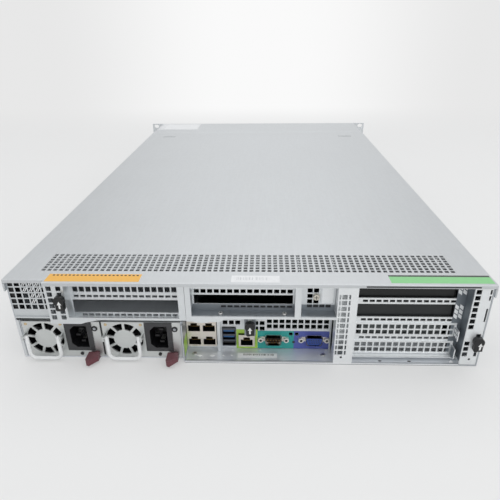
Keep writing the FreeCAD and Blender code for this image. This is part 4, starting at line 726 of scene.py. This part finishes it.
def makeJackContacts():
    # Gold springs slope down from the roof of each network jack.
    bm = bmesh.new()
    lean = Matrix.Rotation(math.radians(ports["springLean"]), 3, "X")
    for x, z in ports["jacks"]:
        for i in range(ports["springs"]):
            cx = x + (i - 3.5) * ports["springPitch"]
            made = addBox(bm, (cx - 0.22, 22.0, z - 4.0), (cx + 0.22, 31.0, z - 3.6))
            bmesh.ops.rotate(bm, cent=mm(cx, 31.0, z - 3.8), matrix=lean, verts=made)
    addPiece("jackContacts", bm, "base", "goldContact")


def makeUsbTongues():
    left, right = ports["usbX"] - ports["usbHalf"], ports["usbX"] + ports["usbHalf"]
    front, end = ports["usbDepth"]
    for name, finish, levels in (("usbTongues", "usbBlue", ((15.52, 17.6), (22.12, 24.2))),
                                 ("usbTongueLow", "latchPlastic", ((8.92, 11.0),))):
        formPiece(name, "base", finish, [((left, front, low), (right, end, high)) for low, high in levels],
                  bevel=0.15)


# Sub-D connectors: the insert's set-back from the panel, its rows of contacts, and each contact's
# set-back, radius and length.
dsub = {"z": 13.3, "halfWidth": 8.7, "halfHeight": 4.5, "slant": 1.6, "corner": 1.9, "reach": 5.4,
        "bowl": 4.8, "insertGap": 0.62, "screwX": 12.495, "flange": (13.4, 2.6)}
dsubs = {"serial": {"x": 26.5, "setBack": 1.2, "counts": (5, 4), "pitch": 2.76, "rowPitch": 2.84,
                    "stagger": 0.0, "contact": (1.8, 0.5, 3.6), "insert": "insertDark",
                    "pins": "goldContact"},
         # The VGA's contacts are its socket holes, drawn as dark discs of painted shade.
         "vga": {"x": 66.0, "setBack": 4.9, "counts": (5, 5, 5), "pitch": 2.29, "rowPitch": 1.98,
                 "stagger": 0.5, "contact": (0.03, 0.55, 0.08), "insert": "insertBlue", "pins": "markDark"}}


def addDsubFace(bm, x, grow, depth):
    # Slanted D outline as one face across the rear, with its four corners rounded.
    w, h = dsub["halfWidth"] + grow, dsub["halfHeight"] + grow
    made = bmesh.ops.create_grid(bm, x_segments=1, y_segments=1, size=1.0)["verts"]
    for v in made:
        slant = dsub["slant"] if v.co.y < 0 else 0.0
        v.co = mm(x + (w - slant) * (1 if v.co.x > 0 else -1), 0, dsub["z"] + h * (1 if v.co.y > 0 else -1))
    bmesh.ops.bevel(bm, geom=made, offset=dsub["corner"] / 1000, segments=5, profile=0.5, affect="VERTICES",
                    clamp_overlap=True, material=-1)
    face = [f for f in bm.faces if all(abs(v.co.y - rearFace) < 1e-9 for v in f.verts)]
    bmesh.ops.translate(bm, vec=(0, depth / 1000, 0), verts=bm.verts)
    return face


def makeDsub(name, form):
    x, z, panel = form["x"], dsub["z"], ports["panel"]
    bm = bmesh.new()
    face = addDsubFace(bm, x, 0.0, panel - dsub["reach"])
    drawOut(bm, [e for e in bm.edges if len(e.link_faces) == 1], (0, (dsub["reach"] + 0.1) / 1000, 0))
    bowl = bmesh.ops.extrude_discrete_faces(bm, faces=face)["faces"]
    bmesh.ops.translate(bm, vec=(0, dsub["bowl"] / 1000, 0), verts=list({v for f in bowl for v in f.verts}))
    bmesh.ops.remove_doubles(bm, verts=bm.verts, dist=1e-7)
    shell = addPiece(name + "Shell", bm, "base", "connectorShell", smooth=True)
    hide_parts(name + "_port")
    # Flange plate, lock screws and the insert with its contacts.
    halfX, halfZ = dsub["flange"]
    spots = (x - dsub["screwX"], x + dsub["screwX"])
    formPiece(name + "Screws", "base", "connectorShell", bevel=0.3,
              boxes=[((x - halfX, panel - 0.5, z - halfZ), (x + halfX, panel - 0.02, z + halfZ))],
              discs=[((spot, panel - 1.7, z), 2.9, 3.4, "y", 6) for spot in spots])
    # Holes of the lock screws, drawn as discs of painted shade.
    formPiece(name + "ScrewHoles", "base", "markDark",
              discs=[((spot, panel - 3.42, z), 1.3, 0.1) for spot in spots])
    bm = bmesh.new()
    depth = panel - form["setBack"]
    face = addDsubFace(bm, x, -dsub["insertGap"], depth)
    grown = bmesh.ops.extrude_face_region(bm, geom=face)["geom"]
    bmesh.ops.translate(bm, vec=(0, (panel + 0.4 - depth) / 1000, 0),
                        verts=[g for g in grown if isinstance(g, bmesh.types.BMVert)])
    addPiece(name + "Insert", bm, "base", form["insert"])
    contacts = []
    setBack, radius, length = form["contact"]
    for row, count in enumerate(form["counts"]):
        down = row - (len(form["counts"]) - 1) / 2
        for i in range(count):
            across = (i - (count - 1) / 2) * form["pitch"] + form["stagger"] * down
            spot = (x + across, depth - setBack, z - down * form["rowPitch"])
            contacts.append((spot, radius, length, "y", 10))
    formPiece(name + "Contacts", "base", form["pins"], discs=contacts)


# Stickers round the ports: outline across the panel, and the windows cut in it.
screwWindows = [(41.7, 45.3, 17.3, 20.9), (47.5, 51.1, 17.3, 20.9)]
stickers = {"labelTeal": ((11.0, 46.4, 1.6, 22.6), screwWindows),
            "labelBlue": ((46.4, 82.2, 1.6, 22.6), screwWindows),
            "labelLime": ((-9.9, 10.9, 1.6, 24.0), [(-7.7, 8.5, 5.4, 19.4)])}


def makePortLabels():
    panel, thickness = ports["panel"], ports["stickerThickness"]
    for name, (outline, windows) in stickers.items():
        platePiece(name, "y", panel - 0.12, outline, windows, thickness, "base", name)
    formPiece("labelLimeSide", "base", "labelLime", [((-58.38, 3.5, 4.6), (-58.3, 17.9, 22.0))])
    # The serial label is white brightened with painted light against its recess's shade.
    formPiece("labelSerial", "base", "whiteGlow", [((-8.2, 6.4, 1.21), (30.1, 13.6, 1.29))], bevel=0.03)
    formPiece("labelBars", "base", "labelBars", [((-3.0, 10.0, 1.29), (27.0, 12.6, 1.31))])
    # A hole in the panel, drawn as a disc of painted shade.
    formPiece("panelHole", "base", "markDark", discs=[((46.4, panel - 0.2, 9.6), 1.4, 0.2)])


makeJackContacts()
makeUsbTongues()
for name, form in dsubs.items():
    makeDsub(name, form)
makePortLabels()
print("ports made")

# Rivets and slits: finish, then spots, height, what addDisc takes, and the stretch along X. The rivets' white
# is a painted highlight, and the slits are painted shade.
rivets = {"floorRivets": ("whiteGlow", [
              ([(-22.3, 18.4), (-13.7, 18.4), (-22.3, 10.1), (-13.9, 10.2), (13.6, 19.1), (78.5, 19.6)], 1.35,
               (1.1, 0.5, "z", 12, 0.7), 1.0),
              ([(-45.3, 9.2), (-32.9, 9.4)], 1.35, (1.5, 0.5, "z", 16, 1.2), 1.8),
              ([(99.4, 4.4), (194.8, 4.0)], 1.5, (1.9, 0.6, "z", 20, 1.4), 1.0)]),
          "floorSlits": ("markDark", [([(127.8, 4.2), (155.4, 4.1)], 1.22, (0.9, 0.06, "z", 20), 1.9)])}
faceHoles = [(208.7, 7.9), (89.7, 8.5)]


def makeRivets():
    for name, (finish, kinds) in rivets.items():
        bm = bmesh.new()
        for spots, height, disc, stretch in kinds:
            for x, y in spots:
                made = addDisc(bm, (x, y, height), *disc)
                middle = Matrix.Translation(-mm(x, y, 0))
                bmesh.ops.scale(bm, vec=(stretch, 1, 1), space=middle, verts=made)
        addPiece(name, bm, "base", finish)
    # Holes in the rear face, drawn as discs of painted shade.
    formPiece("faceHoles", "base", "markDark", discs=[((x, -0.05, z), 1.1, 0.1) for x, z in faceHoles])


screws = {"centre": [(-22.6, 5.4), (35.9, 5.4)], "ledge": [(-50.4, 12.0), (74.6, 12.0)],
          "centreZ": 53.6, "ledgeZ": 1.8, "thumb": (64.65, 11.4, 68.5)}


def makeScrews():
    # Pan heads, with the cross pressed into each drawn as a dark mark of painted shade.
    heads = [((x, y, screws["centreZ"]), 2.4, 1.1, "z", 24, 2.06) for x, y in screws["centre"]]
    heads += [((x, y, screws["ledgeZ"]), 2.6, 1.1, "z", 24, 2.2) for x, y in screws["ledge"]]
    crosses = [((x - a, y - b, z + 0.52), (x + a, y + b, z + 0.58))
               for (x, y, z), *rest in heads for a, b in ((1.3, 0.25), (0.25, 1.3))]
    piece = formPiece("screwHeads", "base", "screwSteel", discs=heads, bevel=0.25)
    formPiece("screwCrosses", "base", "markDark", crosses)
    x, y, z = screws["thumb"]
    formPiece("thumbScrew", "base", "thumbSteel", discs=[((x, y - 1.5, z), 3.1, 3.0, "y", 28)], bevel=0.5)
    # Its cross too is a dark mark of painted shade.
    formPiece("thumbCross", "base", "markDark", [((x - a, y - 3.03, z - b), (x + a, y - 2.9, z + b))
                                                 for a, b in ((2.0, 0.3), (0.3, 2.0))])
    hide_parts("screws")


# Thin plates of painted shade and light: dark plates behind thin rows of holes and in gaps between
# neighbours, plates in painted shade behind the slot covers, and painted light and shade on the blank tab
# and along the tray's lip. Name, low corner, high corner, finish.
shades = [("shadeCentre", (-48.0, 12.6, 53.5), (45.0, 12.9, 59.3), "markDark"),
          ("shadeBlank", (52.0, 12.0, 56.0), (81.0, 12.3, 60.2), "markDark"),
          ("shadeSupply", (-138.9, 6.6, 3.4), (-136.2, 6.7, 42.6), "markDark"),
          ("slotBoard", (103.0, 15.2, 62.0), (190.6, 15.4, 84.0), "dimBoard"),
          ("slotBoardLow", (103.0, 15.2, 40.6), (190.6, 15.4, 61.9), "dimBoardLow"),
          ("slotMiddle", (107.0, 15.2, 26.0), (183.0, 15.4, 40.0), "dimSteelHigh"),
          ("slotPlate", (103.0, 15.2, 6.0), (190.6, 15.4, 24.2), "dimSteel"),
          # Painted light: a steel strip over the dark gap beside the left supply.
          ("supplyEdge", (-216.8, 6.3, 1.3), (-214.2, 6.5, 43.0), "cageSteel"),
          # Painted highlight on the blank tab's face, with painted shadow under it and painted shade on its
          # side.
          ("blankTab", (70.0, 9.7, 62.2), (80.0, 9.78, 84.4), "paleSteel"),
          ("blankTabShade", (69.2, 11.3, 61.0), (80.0, 11.38, 62.0), "shadeSteel"),
          ("blankTabSide", (69.2, 11.3, 62.0), (69.9, 11.38, 84.4), "shadeSteel"),
          ("ioEdge", (80.8, 20.8, 1.4), (82.5, 21.0, 42.8), "cageSteel"),
          # Along the tray's lip: a band of painted shade, a painted highlight on its bend and a painted
          # shadow at its foot.
          ("lipBand", (-58.0, -0.05, 1.5), (82.2, -0.01, 2.9), "innerSteel"),
          ("lipEdge", (-58.0, -0.06, 0.5), (200.0, -0.01, 1.5), "whiteGlow"),
          ("lipFoot", (-58.0, -0.05, 0.02), (200.0, -0.01, 0.5), "shadeSteel")]

makeRivets()
makeScrews()
for name, low, high, finish in shades:
    formPiece(name, "base", finish, [(low, high)])

# Thumb latches: middle of the foot, and where the arrow's shaft ends.
latches = {"left": {"foot": (-166.5, -0.3, 60.0), "arrow": (-165.9, 67.0)},
           "center": {"foot": (4.1, 11.1, 26.0), "arrow": (4.1, 33.0)},
           "right": {"foot": (212.2, -0.3, 19.4), "arrow": (213.5, 26.0)}}
latchForm = {"head": 4.85, "headRise": 10.3, "depth": 4.95, "bevel": 0.45, "stem": (-3.6, 4.1, 1.0, 9.6),
             "tip": (-3.0, 0.3, 0.03, 1.6), "neck": (1.8, 3.7, 11.7),
             "ribs": ((11.2, 3.4), (12.6, 3.4), (14.0, 2.2))}


def makeLatch(side):
    # Round head on a narrower shaft, three grip ribs and the neck that runs through the sheet.
    x, y, z = latches[side]["foot"]
    form = latchForm
    front = y - form["depth"]
    bm = bmesh.new()
    addDisc(bm, (x, y - form["depth"] / 2, z + form["headRise"]), form["head"], form["depth"], sides=28)
    for part, inset in (("stem", 0.05), ("tip", 0.6)):
        a0, a1, b0, b1 = form[part]
        addBox(bm, (x + a0, front + inset, z + b0), (x + a1, y, z + b1))
    bevelSharp(bm, form["bevel"])
    for rise, half in form["ribs"]:
        addBox(bm, (x - half, front - 0.04, z + rise - 0.3), (x + half, front + 0.2, z + rise + 0.3))
    half, b0, b1 = form["neck"]
    addBox(bm, (x - half, y - 0.1, z + b0), (x + half, y + 1.6, z + b1))
    latch = addPiece("latchForm_" + side, bm, "latch_" + side, "latchPlastic")
    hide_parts("riser_" + side + "_latch")
    # White upward arrow inlaid in it.
    x, z = latches[side]["arrow"]
    formPiece("arrow_latch_" + side, "latch_" + side, "markWhite",
              boxes=[((x - 0.8, front - 0.02, z - 3.6), (x + 0.8, front + 0.06, z + 0.6))],
              discs=[((x, front + 0.02, z + 1.4), 2.4, 0.08, "y", 3)])


cells = {"wall": 200.2, "plane": 12.2, "low": 4.9, "top": 84.0, "columns": ((191.6, 195.0), (195.8, 199.2)),
         "rows": (72.8, 77.8, 46.8, 51.8, 56.8), "high": 3.9, "slant": 2.6, "tab": 195.2,
         "tabs": ((5.3, 15.9), (25.6, 36.2)), "tabCells": (27.6, 32.0)}


def makeWallCells():
    # Right end of the slot recess: dull grey walls of painted shade, and bright slanted openings of painted
    # light beside the slots.
    wall, plane, tab, low, top = (cells[k] for k in ("wall", "plane", "tab", "low", "top"))
    formPiece("recessWallShade", "base", "shadeSteel", [
        ((wall - 0.07, 1.1, low), (wall - 0.02, plane - 0.03, top)),
        ((cells["columns"][0][0] - 0.4, plane - 0.07, low), (wall - 0.08, plane - 0.02, top)),
        *[((tab - 0.06, 3.25, foot), (tab - 0.01, plane - 1.1, head)) for foot, head in cells["tabs"]]])
    bm = bmesh.new()
    for a0, a1 in cells["columns"]:
        for z in cells["rows"]:
            made = addBox(bm, (a0, plane - 0.12, z), (a1, plane - 0.07, z + cells["high"]))
            for v in made:
                if v.co.x > (a0 + a1) / 2000:
                    v.co.z -= cells["slant"] / 1000
    for z in cells["tabCells"]:
        for y in (4.2, 7.6):
            addBox(bm, (tab - 0.11, y, z), (tab - 0.06, y + 2.6, z + 3.2))
    addPiece("wallCellsLight", bm, "base", "whiteGlow")


slivers = {"first": -213.3, "top": 82.15, "pitch": 6.1, "columns": ((2, 3, 4), (2, 3, 4), (3, 4), (3,)),
           "shifts": (-2.3, -0.6), "lean": 2.4, "width": 0.9, "half": 2.0, "plane": 6.5}


def makeSlivers():
    # Painted highlights on the cut edges of sheet seen slantwise through the vent over the left supply.
    bm = bmesh.new()
    plane, half = slivers["plane"], slivers["half"]
    for row, columns in enumerate(slivers["columns"]):
        z = slivers["top"] - row * slivers["pitch"]
        for column in columns:
            for shift in slivers["shifts"]:
                x = slivers["first"] + column * slivers["pitch"] + shift
                made = addBox(bm, (x, plane, z - half), (x + slivers["width"], plane + 0.05, z + half))
                for v in made:
                    if v.co.z > z / 1000:
                        v.co.x += slivers["lean"] / 1000
    addPiece("ventSliverHighlights", bm, "base", "whiteGlow")


for side in latches:
    makeLatch(side)
makeWallCells()
makeSlivers()
# Bright pin head beside the left latch, and the dark slit at its right in painted shade.
formPiece("plungerHead", "base", "screwSteel", discs=[((-163.4, -0.05, 78.6), 1.5, 0.1)])
formPiece("plungerShade", "base", "markDark", [((-162.0, -0.1, 74.6), (-161.95, -0.01, 82.4))])
print("small fittings made")

studio = {"floor": (0.82, 0.82, 0.815), "glow": 0.955, "glowEdge": 0.805, "nearShare": 0.35,
          "sideShade": 0.34, "glowFrom": 0.42, "glowTo": 1.2, "sideFrom": 1.1, "sideTo": 2.6,
          "worldLight": 0.62, "worldSeen": 0.815, "worldColour": (0.97, 0.985, 1.0, 1),
          "glowSides": (0.06, 0.44), "shadeSides": (0.1, 0.6), "eyeDistance": 0.75,
          "halfWidth": 7, "halfDepth": 4, "sweep": 2, "wall": 4, "drop": 0.0004,
          "cameraPlace": (0.0177, -0.7259, 0.2911), "cameraTurn": (64.015, 0.587, 1.748), "lens": 33.312}


def paperMaterial(name):
    # The paper glows to the camera and in reflections as painted light: in part near the server, which
    # softens its shadow, fully away from it and most behind it, with its reflections dimmer at the sides.
    tree, shader = newMaterial(name)
    place = objectPlace(tree)
    x, y, z = splitVector(tree, place)
    shaded = tuple(c * 0.985 for c in studio["floor"])
    mottle = noiseNode(tree, place, 3.0, 2.0)
    feed(tree, shader.inputs["Base Color"], mixColours(tree, mottle, shaded, studio["floor"]))
    shader.inputs["Roughness"].default_value = 0.7
    shader.inputs["Specular IOR Level"].default_value = 0.2
    near, full = studio["nearShare"], studio["glow"] - studio["glowEdge"]
    far = rampNode(tree, y, studio["glowFrom"], studio["glowTo"])
    share = rampNode(tree, y, studio["glowFrom"], studio["glowTo"], near)
    for away in (mathNode(tree, "MULTIPLY", y, -1.0), mathNode(tree, "ABSOLUTE", x)):
        farther = rampNode(tree, away, studio["sideFrom"], studio["sideTo"], near)
        share = mathNode(tree, "MAXIMUM", share, farther)
    path = addNode(tree, "LightPath").outputs
    seen = mathNode(tree, "MAXIMUM", path["Is Camera Ray"], path["Is Glossy Ray"])
    depth = mathNode(tree, "MAXIMUM", mathNode(tree, "ADD", y, studio["eyeDistance"]), 0.2)
    side = mathNode(tree, "ABSOLUTE", mathNode(tree, "DIVIDE", x, depth))
    middle = mathNode(tree, "MULTIPLY", rampNode(tree, side, *studio["glowSides"], full, 0.0), far)
    level = mathNode(tree, "ADD", middle, studio["glowEdge"])
    shade = rampNode(tree, side, *studio["shadeSides"], 0.0, studio["sideShade"])
    dim = mathNode(tree, "MULTIPLY", shade, path["Is Glossy Ray"])
    pale = addNode(tree, "Emission", Strength=mathNode(tree, "SUBTRACT", level, dim))
    blend = addNode(tree, "MixShader", Fac=mathNode(tree, "MULTIPLY", share, seen))
    tree.links.new(shader.outputs[0], blend.inputs[1])
    tree.links.new(pale.outputs[0], blend.inputs[2])
    tree.links.new(blend.outputs[0], tree.nodes["Material Output"].inputs["Surface"])


def makeStage():
    # Floor that sweeps up into a backdrop.
    bm = bmesh.new()
    halfX, halfY, sweep = studio["halfWidth"], studio["halfDepth"], studio["sweep"]
    addSheet(bm, (-halfX, halfX, -halfY, halfY))
    bmesh.ops.translate(bm, vec=(0, 0, -studio["drop"]), verts=bm.verts)
    rear = [e for e in bm.edges if all(v.co.y > halfY - 0.1 for v in e.verts)]
    bmesh.ops.spin(bm, geom=rear, cent=(0, halfY, sweep), axis=(1, 0, 0), dvec=(0, 0, 0),
                   angle=math.radians(90), steps=24)
    bmesh.ops.remove_doubles(bm, verts=bm.verts, dist=1e-5)
    top = [e for e in bm.edges if all(v.co.z > sweep - 0.01 for v in e.verts)]
    drawOut(bm, top, (0, 0, studio["wall"]))
    paperMaterial("paperFloor")
    closeMesh("backdrop", bm, "paperFloor", smooth=True)


def makeWorld():
    world = bpy.data.worlds.new("softRoom")
    world.use_nodes = True
    bpy.context.scene.world = world
    tree = world.node_tree
    back = tree.nodes["Background"]
    back.inputs["Color"].default_value = studio["worldColour"]
    seen = addNode(tree, "LightPath").outputs["Is Camera Ray"]
    strength = rampNode(tree, seen, 0.0, 1.0, studio["worldLight"], studio["worldSeen"])
    feed(tree, back.inputs["Strength"], strength)


# Softboxes: place, aim, size in metres and power.
lamps = {"topSoftbox": ((0.0, 0.3, 2.2), (0, 0, 0), (3.4, 3.4), 30),
         "rearSoftbox": ((1.1, -2.3, 1.5), (0, -0.3, 0), (3.0, 2.0), 18)}


def addLamp(name, place, aim, size, power):
    lamp = bpy.data.lights.new(name, "AREA")
    lamp.shape = "RECTANGLE"
    lamp.size, lamp.size_y = size
    lamp.energy = power
    holder = bpy.data.objects.new(name, lamp)
    holder.location = place
    holder.rotation_euler = (Vector(aim) - Vector(place)).to_track_quat("-Z", "Y").to_euler()
    bpy.context.scene.collection.objects.link(holder)


def makeCamera():
    camera = bpy.data.cameras.new("photoCamera")
    camera.lens = studio["lens"]
    camera.sensor_width = 36.0
    camera.clip_start = 0.01
    holder = bpy.data.objects.new("photoCamera", camera)
    holder.location = studio["cameraPlace"]
    holder.rotation_euler = [math.radians(a) for a in studio["cameraTurn"]]
    bpy.context.scene.collection.objects.link(holder)
    bpy.context.scene.camera = holder


makeStage()
makeWorld()
for name, values in lamps.items():
    addLamp(name, *values)
makeCamera()
bpy.context.scene.view_settings.view_transform = "Standard"
print("stage, lamps and camera made")
